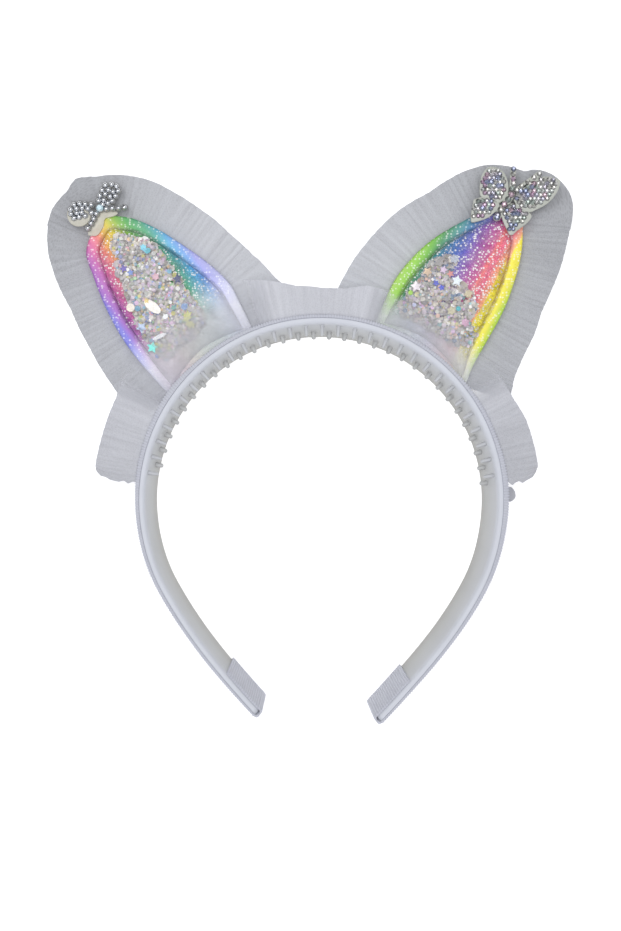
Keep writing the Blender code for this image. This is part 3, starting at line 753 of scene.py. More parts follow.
def ear_ring(ear, height, sides=110, base=34):
    """The whole outline of an ear at a height, clear of the ribbon."""
    seat = BAND_RADIUS - BAND_FLARE * (1.0 - min(height / BAND_DEPTH, 1.0)) + GAP
    line = ear_sides(ear, seat, sides)
    start, end = line[-1].x, line[0].x
    return line + [foot_point(start + (end - start) * i / base, seat) for i in range(1, base)]


def inward(ear, point, margin, share):
    """Move an outline point in by a margin, then by a share of the way to the ear's middle.

    The middle line has few points, so both sides of the ear end on the same ones and join.
    """
    up = min(max(point.y / ear["length"], SPINE_LOW), SPINE_HIGH)
    if share >= 1.0:
        up = round(up * SPINE_STEPS) / SPINE_STEPS
    middle = (look_up(ear["outline"], up, 1) - look_up(ear["outline"], up, 2)) / 2
    spine = Vector((middle * EAR_HALF_WIDTH, up * ear["length"]))
    edge = point + (spine - point).normalized() * margin
    return edge.lerp(spine, share)


def fading(ear, point, shift=0.0):
    """1 at an ear's foot and 0 past the belt where its print and its film turn clear."""
    off_band = hypot(point.x, BAND_RADIUS + point.y) - BAND_RADIUS
    low, high = ear["fade"]
    return 1.0 - min(1.0, max(0.0, (off_band + shift - low) / (high - low)))


def dome_rise(ear, spot, share):
    """Height of a window at a share of the way from its seam to the ear's middle."""
    along = look_up(DOME_PROFILE, max(spot.y, 0.0) / ear["length"], soft=True)
    return DOME_HEIGHT * along * sin(pi / 2 * min(share / DOME_FLAT, 1.0))


for side, ear in EARS.items():
    ear["ring"] = ear_ring(ear, LEAF_HEIGHT)
    print(side, "ear outline:", len(ear["ring"]), "points")

# %% [markdown]
# ### Vinyl
#
# The leaf is cut from a sheet of glitter vinyl, with a second strip of it laid over the edge of
# the window as a soft, rounded rim. The strip's inner edge dips into the weld, which shows as a
# dark line. One skin with that profile is enough: across the rim, down into the weld, and flat
# behind the window. Its back and edge close it.

# %% Vinyl leaves
RIM_PROFILE = (     # margin from the edge, height above the panel's underside
    (0.00, 0.00), (0.00, 0.80), (0.10, 1.12), (0.28, 1.26), (0.60, 1.31), (2.30, 1.36),
    (3.90, 1.30), (4.20, 1.18), (4.38, 0.90), (4.50, 0.64), (4.72, 0.68), (5.20, 0.80),
    (6.20, 0.80))
PANEL_HEIGHT = 5.3
LEAF_ROWS = 14
RIM_UNEVEN, PRINT_RAGGED = 0.10, 1.6


def make_vinyl(side, ear, material):
    ring, rim_rows = ear["ring"], len(RIM_PROFILE)
    rows = rim_rows + LEAF_ROWS

    def place_on_ear(u, v):
        """The spot across and along the ear, with its height above the table."""
        point = ring[round(u * len(ring)) % len(ring)]
        row = round(v * rows)
        if row == 0:
            return inward(ear, point, 2.0, 0.0), PANEL_HEIGHT
        margin, height = RIM_PROFILE[min(row, rim_rows) - 1]
        spot = inward(ear, point, margin, max(0, row - rim_rows) / LEAF_ROWS)
        if 1 < row < rim_rows:
            height += RIM_UNEVEN * noise.noise(Vector((spot.x * 0.22, spot.y * 0.22, 3.0)))
        return spot, PANEL_HEIGHT + height

    def faded(u, v):
        """1 where the print has faded to white at the foot, 0 where it is in full colour."""
        ragged = PRINT_RAGGED * noise.noise(Vector((u * 40.0, v * 9.0, 1.0)))
        return fading(ear, place_on_ear(u, v)[0], ragged)

    bm = closed(laid_grid(
        len(ring), rows, lambda u, v: at(*on_ear(ear, *place_on_ear(u, v))),
        marks={"faded": faded, "inside": lambda u, v: 1.0 if v * rows > rim_rows - 2.5 else 0.0}),
        0.02)
    piece = new_piece("vinyl_leaf_" + side, bm, material)
    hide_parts("ear_back_" + side)


# %% [markdown]
# ### Rainbow glitter
#
# The print runs through the whole rainbow in straight stripes across each ear. How far a spot
# lies along the stripes' direction is one number, so one ramp gives the colours, read off the
# photograph at a few places. The rim is another strip of the same sheet, whose stripes lie a
# little further along; its colour is paled a little toward white, as a painted sheen. Cells of a
# third of a millimetre are the grain of the glitter. In larger cells a few round dots are painted
# nearly white, as painted glints where the glitter flashes in the photograph: they are dense
# behind the window and faint on the rim, which is satin. At the foot it all fades to white.

# %% Rainbow glitter
GRAIN_CELLS, DOT_CELLS = 3000.0, 1350.0     # cells to the metre
WANDER = 0.0012         # how far the stripes stray from a straight line, in metres
LEAD_CHANGE = 4.0       # how far from the tip the rim's lead has changed, in mm
RIM_SPARKLE = 0.50      # how much of the dots shows on the rim
WHITE_SHOWS = 0.28      # how much of the print still shows where it has faded


def stripe(turn, column, row):
    """How far along the stripes' direction a place in the picture is, in scene millimetres."""
    spot = at(*seen(column, row), 0.0) / MM
    return spot.x * cos(turn) + spot.y * sin(turn)


def rainbow(name, base, turn, places, tip, leads, sparkle):
    """Glitter vinyl whose stripes cross the direction `turn`, with its colours at some places.

    `leads` says how many millimetres the rim's stripes are further along before and after the
    ear's tip, and `sparkle` is the share of dots that are painted white as glints.
    """
    lines = sorted((stripe(turn, *place), colour) for place, colour in places)
    start, end, middle = lines[0][0], lines[-1][0], stripe(turn, *tip)
    stops = [((line - start) / (end - start), paint(*colour)) for line, colour in lines]
    print(name, "stripes from", round(start, 1), "to", round(end, 1), "mm")

    material, tree, shader = new_material(name, base, 0.3)
    place = add(tree, 'ShaderNodeTexCoord').outputs["Object"]
    wander = add(tree, 'ShaderNodeTexNoise', {
        "Vector": place, "Scale": 120.0, "Detail": 1.0}).outputs["Color"]
    drift = add(tree, 'ShaderNodeVectorMath', {
        0: wander, 1: (WANDER, WANDER, 0.0)}, operation='MULTIPLY').outputs[0]
    moved = add(tree, 'ShaderNodeVectorMath', {0: place, 1: drift}).outputs[0]
    along = add(tree, 'ShaderNodeVectorMath', {
        0: moved, 1: (cos(turn), sin(turn), 0.0)}, operation='DOT_PRODUCT').outputs["Value"]
    inside = marked(tree, "inside")
    lead = ranged(tree, along, (middle - LEAD_CHANGE) * MM, (middle + LEAD_CHANGE) * MM,
                  leads[0] * MM, leads[1] * MM)
    led = maths(tree, 'MULTIPLY_ADD', lead, maths(tree, 'SUBTRACT', 1.0, inside), along)
    print_colour = ramp(tree, ranged(tree, led, start * MM, end * MM), stops)

    grain = add(tree, 'ShaderNodeTexVoronoi', {"Vector": place, "Scale": GRAIN_CELLS})
    pick = add(tree, 'ShaderNodeSeparateColor', {"Color": grain.outputs["Color"]}).outputs
    # Painted sheen: the rim's colour is mixed a little toward white.
    rim_painted_sheen = mixed(tree, 0.07, print_colour, (1.0, 1.0, 1.0, 1.0))
    grainy = mixed(tree, 1.0, print_colour, ramp(tree, pick["Red"], [
        (0.0, grey(0.78)), (0.5, grey(1.0)), (1.0, grey(1.35))]), 'MULTIPLY')
    ground = mixed(tree, inside, rim_painted_sheen, grainy)

    # Painted glints: a share of the larger cells gets a round dot painted nearly white.
    dots = add(tree, 'ShaderNodeTexVoronoi', {"Vector": place, "Scale": DOT_CELLS})
    chance = add(tree, 'ShaderNodeSeparateColor', {"Color": dots.outputs["Color"]}).outputs
    painted_glints = ramp(tree, chance["Green"], [
        (1.0 - sparkle - 0.25, grey(0.0)), (1.0 - sparkle, grey(1.0))])
    amount = maths(tree, 'MULTIPLY', painted_glints, ranged(tree, inside, 0.0, 1.0, RIM_SPARKLE, 1.0))
    dot = ramp(tree, dots.outputs["Distance"], [(0.30, grey(1.0)), (0.50, grey(0.0))])
    lit = mixed(tree, maths(tree, 'MULTIPLY', amount, dot), ground, (1.0, 1.0, 0.97, 1.0))

    white = mixed(tree, WHITE_SHOWS, (*paint(253, 253, 255), 1.0), lit)
    tree.links.new(mixed(tree, marked(tree, "faded"), lit, white), shader.inputs["Base Color"])
    drive(tree, shader, "Roughness", pick["Blue"], [(0.0, grey(0.26)), (1.0, grey(0.5))])
    bump(tree, shader, maths(tree, 'MULTIPLY', pick["Blue"], inside), 0.35, 0.00015)
    shader.inputs["Metallic"].default_value = 0.10
    return material


LEFT_PRINT = [      # place in the picture and the print's colour there
    ((150, 390), (118, 140, 224)), ((115, 322), (112, 108, 214)), ((103, 296), (150, 84, 190)),
    ((93, 262), (184, 74, 164)), ((89, 242), (214, 88, 146)), ((88, 222), (228, 118, 88)),
    ((103, 232), (226, 172, 30)), ((109, 224), (206, 190, 6)), ((112, 208), (122, 176, 24)),
    ((128, 218), (58, 160, 52)), ((150, 229), (52, 158, 112)), ((164, 238), (58, 164, 168)),
    ((176, 243), (76, 168, 216)), ((190, 252), (110, 158, 226)), ((206, 264), (158, 160, 228)),
    ((240, 292), (176, 178, 222))]
glitter_left = rainbow("glitter_left", paint(220, 110, 190), radians(35.0), LEFT_PRINT,
                       (106, 228), (-1.0, 0.6), 0.24)

# %% Right ear's rainbow
RIGHT_PRINT = [
    ((380, 286), (160, 205, 60)), ((394, 283), (140, 205, 20)), ((412, 267), (96, 180, 30)),
    ((428, 249), (40, 140, 70)), ((447, 234), (46, 140, 140)), ((462, 232), (50, 120, 190)),
    ((474, 236), (96, 92, 190)), ((487, 233), (150, 76, 168)), ((498, 240), (206, 84, 140)),
    ((505, 246), (228, 92, 128)), ((480, 280), (236, 112, 112)), ((512, 250), (248, 170, 112)),
    ((492, 292), (250, 234, 10)), ((516, 270), (232, 224, 2)), ((510, 292), (186, 216, 8)),
    ((501, 318), (150, 210, 20))]
glitter_right = rainbow("glitter_right", paint(90, 190, 150), radians(-28.0), RIGHT_PRINT,
                        (487, 240), (-3.0, -0.8), 0.36)

make_vinyl("left", EARS["left"], glitter_left)
make_vinyl("right", EARS["right"], glitter_right)

# %% [markdown]
# ## Tulle
#
# A frill is a long strip of net folded in two along its outer edge and gathered into its seam, so
# it has two layers that part a little and many small pleats that run from the seam to the fold. A
# grid goes out along the upper layer and back along the lower one. The pleats are a wave whose
# pitch wanders, since hands gathered them, and they open toward the fold.

# %% Pleats
def pleat(distance, seed, pitch=1.75):
    """A pleat's height from -1 to 1 at a distance along the seam, in millimetres."""
    wander = 1.3 * noise.noise(Vector((distance * 0.16, seed, 0.0)))
    main = sin(2 * pi * (distance / pitch + wander))
    fine = sin(2 * pi * (distance / (pitch * 0.53) + 1.7 * wander + seed))
    depth = 0.75 + 0.5 * noise.noise(Vector((distance * 0.31, seed, 5.0)))
    return (0.72 * main + 0.28 * fine) * depth


def outward_of(seam, sign):
    """The way out from a seam at each of its points."""
    ways = []
    for i in range(len(seam)):
        step = seam[min(i + 1, len(seam) - 1)] - seam[max(i - 1, 0)]
        ways.append(Vector((-step.y, step.x)).normalized() * sign)
    return ways


LOWER_LAYER = 9.0       # added to the seed, so that the lower layer has pleats of its own
SCALLOP, SCALLOP_PITCH = 0.07, 3.1      # how much and how often the fold line wavers
ROUND_FOLD = 0.9        # share of the width where the net begins to bend into its fold
CUT_ZONE, CUT_PULL = 5.0, 2.6       # length of a ragged end, and how far its fold is pulled back


def frill_mesh(seam, ways, table, layer_heights, root, swing, seed, ragged=0.0, rows=9):
    """Two layers of pleated net from a seam to the fold and back, closed at the fold.

    The table gives the width, and how many layers crowd there, at shares of the seam.
    """
    lengths = walked(seam)
    last = len(seam) - 1

    def wave(index, v):
        """The pleat's height in the upper layer or in the lower one."""
        return pleat(lengths[index], seed if v <= 0.5 else seed + LOWER_LAYER)

    def place(u, v):
        index = round(u * last)
        reach = 1.0 - abs(2.0 * v - 1.0)
        parted = 1.0 - reach ** 2
        full = look_up(table, u) + SCALLOP * pleat(lengths[index], seed + 2.0, SCALLOP_PITCH)
        out = root + (full - root) * (sin(reach * pi / 2) if reach > ROUND_FOLD else reach)
        high, low = layer_heights(max(out, 0.0))
        half = (high - low) / 2 * parted * (1.0 if v <= 0.5 else -1.0)
        swell = swing * (0.35 + 0.65 * reach)
        height = wave(index, v) * parted + wave(index, 0.0) * (1.0 - parted)
        spot = seam[index] + ways[index] * out
        near_end = min(lengths[index], lengths[-1] - lengths[index]) / CUT_ZONE
        if ragged and near_end < 1.0:
            back = Vector((-ways[index].y, ways[index].x)) * (1.0 if index < last / 2 else -1.0)
            torn = ragged * (0.5 + noise.noise(Vector((out * 0.7, seed, 2.0))))
            spot += back * (CUT_PULL * reach ** 4 + torn) * (1.0 - near_end)
        return at(spot.x, spot.y, (high + low) / 2 + half + swell * height)

    def fold(u, v):
        """How far up its pleat a point is, from 0 in the valley to 1 on the ridge."""
        return 0.5 + 0.5 * wave(round(u * last), v)

    def at_fold(u, v):
        return 1.0 if abs(v - 0.5) < 0.25 / rows else 0.0

    bm = laid_grid(
        last, 2 * rows, place,
        uv=lambda u, v: (lengths[round(u * last)] / 10, v * 2 * look_up(table, u) / 10),
        marks={"fold": fold, "crowd": lambda u, v: look_up(table, u, 2), "crease": at_fold})
    crease = bm.verts.layers.float.get("crease")
    for edge in bm.edges:
        edge.smooth = edge.verts[0][crease] + edge.verts[1][crease] < 1.5
    return bm


print("a pleat's heights:", [round(pleat(d, 1.0), 2) for d in range(4)])

# %% [markdown]
# ### Net
#
# Tulle is a net of fine thread with holes about half a millimetre across. The cells of a Voronoi
# texture on the frill's own UV map are the holes, and the lines between them the thread. Half a
# metre away the eye no longer parts them: what is left is a soft white with faint lines along the
# pleats. So the net is faint too, the valleys of the pleats are painted a little darker as
# painted shade, and the cloth is whiter near the ends of the seam, where more layers of it lie on
# each other.

# %% Net material
NET_CELLS = 18.0        # holes to the centimetre
THREAD_SHOWS = 0.16     # how much lighter than the cloth a thread is drawn
PLEAT_STREAKS = (9.0, 0.5, 1.0)     # fine across the pleats and long along them


def net_material(name, light, painted_valley_shade, hole, gathered=False):
    """Tulle. `hole` is how opaque a hole of the net is, where a thread is 1."""
    material, tree, shader = new_material(name, light, 0.85)
    flat_map = add(tree, 'ShaderNodeTexCoord').outputs["UV"]
    cells = add(tree, 'ShaderNodeTexVoronoi', {"Vector": flat_map, "Scale": NET_CELLS},
                feature='DISTANCE_TO_EDGE').outputs["Distance"]
    thread = ranged(tree, cells, 0.05, 0.22, 1.0, 0.0)
    streaks = spots(tree, 1.0, 4.0, "UV", PLEAT_STREAKS)
    height = maths(tree, 'MULTIPLY_ADD', marked(tree, "fold"), 0.22, streaks)
    # Painted shade: the pleats' valleys, read from the fold mark, are painted darker than their
    # ridges.
    pleat_shade = ramp(tree, height, [(0.34, painted_valley_shade), (0.86, light)])
    crowd = maths(tree, 'MULTIPLY_ADD', spots(tree, 45.0, 3.0), 0.35, marked(tree, "crowd"))
    layers = ramp(tree, crowd, [(0.0, grey(0.57)), (0.35, grey(0.77)), (1.0, grey(1.0))])
    layered = mixed(tree, 1.0, pleat_shade, layers, 'MULTIPLY')
    faint = maths(tree, 'MULTIPLY', thread, THREAD_SHOWS)
    tree.links.new(mixed(tree, faint, layered, (*paint(222, 224, 230), 1.0)),
                   shader.inputs["Base Color"])
    cover = ranged(tree, thread, 0.0, 1.0, hole, 1.0)
    if gathered:
        cover = maths(tree, 'MULTIPLY', cover, marked(tree, "thickness"))
    tree.links.new(cover, shader.inputs["Alpha"])
    drive(tree, shader, "Roughness", streaks, [(0.2, grey(0.75)), (0.8, grey(0.92))])
    bump(tree, shader, streaks, 0.3, 0.0003)
    shader.inputs["Sheen Weight"].default_value = 0.1
    return material


tulle = net_material("tulle", paint(211, 213, 218), paint(192, 193, 198), 0.96)

# %% [markdown]
# ### Ear frills
#
# The frill is sewn under the edge of the leaf and follows it from foot to foot. Its width comes
# from a table read off the photograph: it is widest at the tip, where the fold makes a corner.

# %% Ear frills
FRILL_LEFT = (      # share of the seam from the outer foot, width in mm, crowding
    (0.00, 12.4, 0.50), (0.075, 12.4, 0.45), (0.10, 11.9, 0.40), (0.175, 11.1, 0.30),
    (0.20, 10.8, 0.30), (0.30, 10.8, 0.25), (0.35, 11.8, 0.20), (0.40, 11.9, 0.10),
    (0.42, 13.1, 0.05), (0.45, 15.0, 0.00), (0.47, 15.6, 0.00), (0.498, 15.0, 0.00),
    (0.508, 16.3, 0.00), (0.521, 13.9, 0.05), (0.60, 14.0, 0.40), (0.65, 13.5, 0.60),
    (0.75, 13.1, 0.80), (0.80, 12.2, 0.90), (0.86, 12.1, 0.95), (0.90, 13.6, 1.00),
    (0.94, 16.0, 1.00), (1.00, 17.0, 1.00))
FRILL_RIGHT = (
    (0.00, 15.2, 0.35), (0.05, 15.0, 0.30), (0.10, 13.8, 0.25), (0.15, 13.1, 0.20),
    (0.20, 12.8, 0.18), (0.25, 12.0, 0.15), (0.30, 12.7, 0.12), (0.35, 13.7, 0.08),
    (0.40, 14.9, 0.05), (0.43, 15.8, 0.02), (0.46, 16.3, 0.00), (0.479, 17.2, 0.00),
    (0.486, 16.0, 0.00), (0.498, 12.4, 0.00), (0.521, 13.8, 0.05), (0.55, 14.7, 0.10),
    (0.60, 14.8, 0.20), (0.65, 14.3, 0.30), (0.68, 13.8, 0.35), (0.75, 14.4, 0.50),
    (0.85, 14.6, 0.75), (0.90, 15.1, 0.85), (1.00, 16.0, 0.95))
SEWN_UNDER = -2.6       # the net runs on under the leaf from its seam
NET_LAYERS = (4.25, 3.20)       # heights of the upper and the lower layer
SEAM_HEIGHT, SEAM_POINTS = 3.75, 560
PLEAT_SWING = 0.26

for side, table, seed in (("left", FRILL_LEFT, 1.0), ("right", FRILL_RIGHT, 4.0)):
    ear = EARS[side]
    seam = [on_ear(ear, p, SEAM_HEIGHT).to_2d()
            for p in ear_sides(ear, BAND_RADIUS + GAP, SEAM_POINTS)]
    frill = frill_mesh(seam, outward_of(seam, ear["inward"]), table,
                       lambda out: NET_LAYERS, SEWN_UNDER, PLEAT_SWING, seed)
    frill = new_piece("tulle_frill_" + side, frill, tulle)
    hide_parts("ear_ruffle_" + side)

# %% [markdown]
# ### Band frill
#
# A narrower frill stands along the near edge of the band, in front of the ears' feet. There it is
# pulled into one thin veil, so the vinyl fades into white behind it; past the ears it is gathered
# thick. A thickness at every point of the cloth says how much of it there is. Both ends are cut
# ragged, and a scrap of net hangs out below the right one.

# %% Band frill
FRILL_BAND = (      # share of the way from the right end to the left one, width, crowding
    (0.00, 9.4, 0.00), (0.03, 10.5, 0.00), (0.10, 10.7, 0.10), (0.14, 9.8, 0.30),
    (0.30, 10.5, 0.55), (0.43, 10.5, 0.45), (0.465, 8.4, 0.42), (0.50, 8.3, 0.42),
    (0.54, 9.4, 0.45), (0.58, 12.5, 0.50), (0.63, 16.0, 0.60), (0.82, 16.0, 0.60),
    (0.87, 13.6, 0.40), (0.93, 13.3, 0.22), (0.98, 13.3, 0.15), (1.00, 12.6, 0.12))
VEIL_SPANS = ((33.0, 74.0, 11.0), (107.0, 151.0, 15.5))      # degrees of the band, reach in mm
VEIL_EDGE = 6.0         # degrees over which a veil begins and ends
VEIL_COVER, LOBE_COVER = 0.26, 0.97
BAND_SEAM = (4.3, 175.5)        # degrees of the band from the right end to the left one
BAND_SEAM_POINTS = 760
UPPER_NET, LOWER_NET, NET_SLOPE = 9.15, 8.45, 0.32     # heights at the seam, and their climb
SCRAP = ((509, 488), (513, 487), (517, 491), (518, 497), (515, 501), (511, 502), (508, 497))


def traced(places, count):
    """A smooth closed outline through places in the picture, as even points in millimetres."""
    corners = [Vector(seen(*place)) for place in places + places[:1]]
    return [tuple(p) for p in even_points(smooth_line(corners, 6), count + 1)[:-1]]


def veil_at(angle):
    """How far a direction from the band's centre is inside a veil, and that veil's reach."""
    best = (0.0, VEIL_SPANS[0][2])
    for low, high, reach in VEIL_SPANS:
        share = min(1.0, max(0.0, min(angle - low, high - angle) / VEIL_EDGE + 0.5))
        best = max(best, (share, reach))
    return best


def band_frill():
    start, end = (radians(angle) for angle in BAND_SEAM)
    seat = BAND_RADIUS + GAP
    turns = [start + (end - start) * i / (BAND_SEAM_POINTS - 1) for i in range(BAND_SEAM_POINTS)]
    ways = [Vector((cos(t), sin(t))) for t in turns]
    seam = [way * seat + Vector((skewed(BAND_DEPTH), 0.0)) for way in ways]
    bm = frill_mesh(
        seam, ways, FRILL_BAND,
        lambda out: (UPPER_NET + NET_SLOPE * out, LOWER_NET + NET_SLOPE * out),
        -0.3, PLEAT_SWING, 7.0, ragged=1.6)
    scrap = small_shape("net_scrap", drop_mesh(traced(SCRAP, 36), 4.0, 0.9, 0.3))
    stamp(bm, scrap, Matrix.Identity(4))
    thickness, fold = bm.verts.layers.float.new("thickness"), bm.verts.layers.float.get("fold")
    hub = at(skewed(BAND_DEPTH), 0.0, 0.0)
    for vert in bm.verts:
        flat = (vert.co - hub) / MM
        angle = degrees(atan2(flat.y, flat.x))
        share, reach = veil_at(angle)
        thin = VEIL_COVER * max(0.0, 1.0 - (hypot(flat.x, flat.y) - seat) / reach) ** 0.9
        vert[thickness] = min(thin, VEIL_COVER) * share + LOBE_COVER * (1.0 - share)
        if angle < BAND_SEAM[0] - 0.3:      # the scrap, which has no pleats
            vert[fold] = 0.3
    return bm


veil_tulle = net_material("veil_tulle", paint(228, 229, 236), paint(212, 213, 220), 0.94,
                          gathered=True)
veil = new_piece("band_frill", band_frill(), veil_tulle)
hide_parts("band_ruffle")

# %% [markdown]
# ## Windows
#
# The window is a soft clear film, welded down all round and puffed up by the sequins and the air
# behind it. Only its shine shows. It puckers near the weld and has a few dents, so its highlights
# are short and broken. A single skin is enough, because the film's thickness doesn't show.

# %% Window films
WINDOW_ROWS = 22
FILM_FOOT = 0.55        # height of the film over the window's floor, at its weld
PUCKER, WAVE, RIPPLE = 0.42, 0.45, 0.10     # heights of its folds, from the weld inward


def make_window(side, ear, material, dents):
    """A window from its weld to the ear's middle. Each dent has a place, a radius and a depth."""
    ring = ear["ring"]

    def flat_spot(u, v):
        index = round(u * len(ring)) % len(ring)
        return index, inward(ear, ring[index], WINDOW_SEAM - 1.0, v)

    def uneven(spot, scale, seed):
        return noise.noise(Vector((spot.x * scale, spot.y * scale, seed)))

    def place(u, v):
        index, spot = flat_spot(u, v)
        rise = FILM_FOOT + dome_rise(ear, spot, v) * 0.98
        pucker = noise.noise(Vector((index * 0.33, v * 3.0, 2.0)))
        rise += PUCKER * pucker * max(0.0, 1.0 - v * 2.2) * min(1.0, v * 12.0)
        rise += (WAVE * uneven(spot, 0.16, 8.0) + RIPPLE * uneven(spot, 0.5, 4.0)) * min(1.0, v * 4)
        for x, y, radius, depth in dents:
            away = hypot(spot.x - x, spot.y - y) / radius
            if away < 1.0:
                rise -= depth * (1.0 - away * away) ** 2
        return at(*on_ear(ear, spot, WINDOW_FLOOR + rise))

    def milky(u, v):
        """How near the foot a point is, where the film is crumpled and looks milky."""
        return fading(ear, flat_spot(u, v)[1])

    bm = closed(laid_grid(len(ring), WINDOW_ROWS, place, marks={"milky": milky}), 0.02, fill=False)
    piece = new_piece("clear_window_" + side, bm, material)
    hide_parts("ear_window_" + side)


# %% [markdown]
# ### Clear film
#
# Glass in a closed thin skin would darken all that lies behind it, as the light would have to
# find its way through. Mixing a transparent shader with a glossy one by how squarely the surface
# is seen gives the same shine and lets every lamp through. A little matt white, in clouds and
# more of it toward the foot, is the milky look of a soft film that has been creased.

# %% Clear film
FILM_INDEX = 1.33       # how strongly the film shines when it is seen at a slant
MILKY_FOOT, MILKY_CLOUDS = 0.34, 0.11       # how much matt white there is at most
STRETCH = (1.0, 2.0, 1.0)       # creases and clouds are half as long as they are wide

clear_film, tree, shader = new_material("clear_film", grey(0.95), 0.08)
tree.nodes.remove(shader)
through = add(tree, 'ShaderNodeBsdfTransparent', {"Color": (0.985, 0.99, 1.0, 1.0)})
relief = add(tree, 'ShaderNodeBump', {
    "Height": spots(tree, 170.0, 3.0, stretch=STRETCH), "Strength": 1.0,
    "Distance": 0.0018}).outputs["Normal"]
shine = add(tree, 'ShaderNodeBsdfAnisotropic', {
    "Color": (1.0, 1.0, 1.0, 1.0), "Roughness": 0.15, "Normal": relief})
edge_on = add(tree, 'ShaderNodeFresnel', {"IOR": FILM_INDEX, "Normal": relief})
clear = add(tree, 'ShaderNodeMixShader', {
    0: edge_on.outputs[0], 1: through.outputs[0], 2: shine.outputs[0]})
matt = add(tree, 'ShaderNodeBsdfDiffuse', {"Color": (*paint(246, 245, 248), 1.0)})
clouds = ranged(tree, spots(tree, 200.0, 5.0, stretch=STRETCH), 0.35, 0.70, 0.0, MILKY_CLOUDS)
haze = maths(tree, 'MULTIPLY_ADD', marked(tree, "milky"), MILKY_FOOT, clouds)
film = add(tree, 'ShaderNodeMixShader', {0: haze, 1: clear.outputs[0], 2: matt.outputs[0]})
tree.links.new(film.outputs[0], tree.nodes["Material Output"].inputs["Surface"])

make_window("left", EARS["left"], clear_film, [(11.5, 9.5, 3.6, 1.2), (3.0, 8.0, 5.0, 0.6)])
make_window("right", EARS["right"], clear_film, [(8.0, 8.0, 4.5, 0.8), (-2.0, 12.0, 4.0, 0.5)])

# %% [markdown]
# ## Sequins
#
# Hundreds of loose flakes lie in each ear: small stars, flowers and hexagons of iridescent
# film. Each shape is cut once from a circle, by pulling every other point in. A heap is then
# stamped flake by flake, each at its own turn, tilt, size and tint. The tints are picked from
# short lists, with a few strong colours among many pale ones.

# %% Flake shapes
def petal_shape(name, points, waist):
    """A flat star or flower of one millimetre radius."""
    bm = bmesh.new()
    bmesh.ops.create_circle(bm, cap_ends=True, segments=2 * points, radius=MM)
    bm.verts.ensure_lookup_table()
    for index, vert in enumerate(bm.verts):
        if index % 2:
            vert.co *= waist
    return small_shape(name, bm)


STAR = petal_shape("star_flake", 5, 0.50)
FLOWER = petal_shape("flower_flake", 6, 0.66)
HEXAGON = petal_shape("hexagon_flake", 3, 0.98)
DOT = petal_shape("dot_flake", 6, 0.98)
print("flakes:", [shape.name for shape in (STAR, FLOWER, HEXAGON, DOT)])


# %% [markdown]
# A heap fills an outline read off the photograph. `within` tells if a spot is inside it. Large
# pale flakes lie at the bottom and hide the vinyl, and smaller and smaller ones lie over them up
# to the film. They lean a few degrees.

# %% Heaps
def within(x, y, outline):
    """True if a spot is inside a closed outline."""
    hit = False
    for (ax, ay), (bx, by) in zip(outline, outline[1:] + outline[:1]):
        if (ay > y) != (by > y) and x < ax + (y - ay) * (bx - ax) / (by - ay):
            hit = not hit
    return hit


def tossed(rng, tilt, turn=2 * pi):
    """A small lean to either side and a spin, at random."""
    lean = Matrix.Rotation(radians(rng.uniform(-tilt, tilt)), 4, 'X')
    lean = lean @ Matrix.Rotation(radians(rng.uniform(-tilt, tilt)), 4, 'Y')
    return lean @ Matrix.Rotation(rng.uniform(0, turn), 4, 'Z')


def flake_matrix(x, y, z, size, rng, tilt, stretch=1.0):
    scale = Matrix.Diagonal((size * stretch, size / stretch, size, 1.0))
    return Matrix.Translation(at(x, y, z)) @ tossed(rng, tilt) @ scale


BED_SHARE, BED_SIZE = 0.12, 2.2      # the share of flakes that make the bed, and how much larger
HEAP_FLOOR, HEAP_DEPTH = 6.5, 1.8
HEAP_TILT, SINGLE_TILT = 14.0, 4.0      # degrees
SINGLE_HEIGHT = 8.5


def heap(name, outline, count, tints, shapes, sizes, seed, singles):
    """Random flakes inside an outline, then single ones at their own places."""
    rng = Random(seed)
    corners = [seen(*corner) for corner in outline]
    (left, right), (low, high) = ((min(side), max(side)) for side in zip(*corners))
    bm = bmesh.new()
    placed = 0
    while placed < count:
        x, y = rng.uniform(left, right), rng.uniform(low, high)
        if not within(x, y, corners):
            continue
        share = placed / count
        size = rng.uniform(*sizes) * (BED_SIZE if share < BED_SHARE else 1.15 - 0.3 * share)
        choice = PALE if share < BED_SHARE else tints
        stamp(bm, rng.choice(shapes),
              flake_matrix(x, y, HEAP_FLOOR + HEAP_DEPTH * share, size, rng, HEAP_TILT),
              paint(*rng.choice(choice)))
        placed += 1
    for column, row, shape, size, stretch, colour in singles:
        place = flake_matrix(*seen(column, row), SINGLE_HEIGHT, size, rng, SINGLE_TILT, stretch)
        stamp(bm, shape, place, paint(*colour))
    piece = new_piece(name, bm, sequin_film)
    piece.data.shade_flat()
    return piece


# %% [markdown]
# ### Sequin film
#
# The flakes are pearly plastic: hardly metallic, satin, each in the tint that it was stamped
# with. A fine noise keeps big flakes from looking like flat paint.

# %% Sequin film
def stamped_colour(tree, shader, factor, stops):
    """The colour that each face was stamped with, varied by a ramp over a factor."""
    tree.links.new(
        mixed(tree, 1.0, marked(tree, "tint", "Color"), ramp(tree, factor, stops), 'MULTIPLY'),
        shader.inputs["Base Color"])


sequin_film, tree, shader = new_material("sequin_film", paint(225, 215, 220), 0.25)
grain = spots(tree, 1500.0, 2.0)
stamped_colour(tree, shader, grain, [(0.3, grey(0.88)), (0.7, grey(1.06))])
drive(tree, shader, "Roughness", grain, [(0.2, grey(0.22)), (0.8, grey(0.45))])
shader.inputs["Metallic"].default_value = 0.12
bump(tree, shader, grain, 0.2, 0.0001)

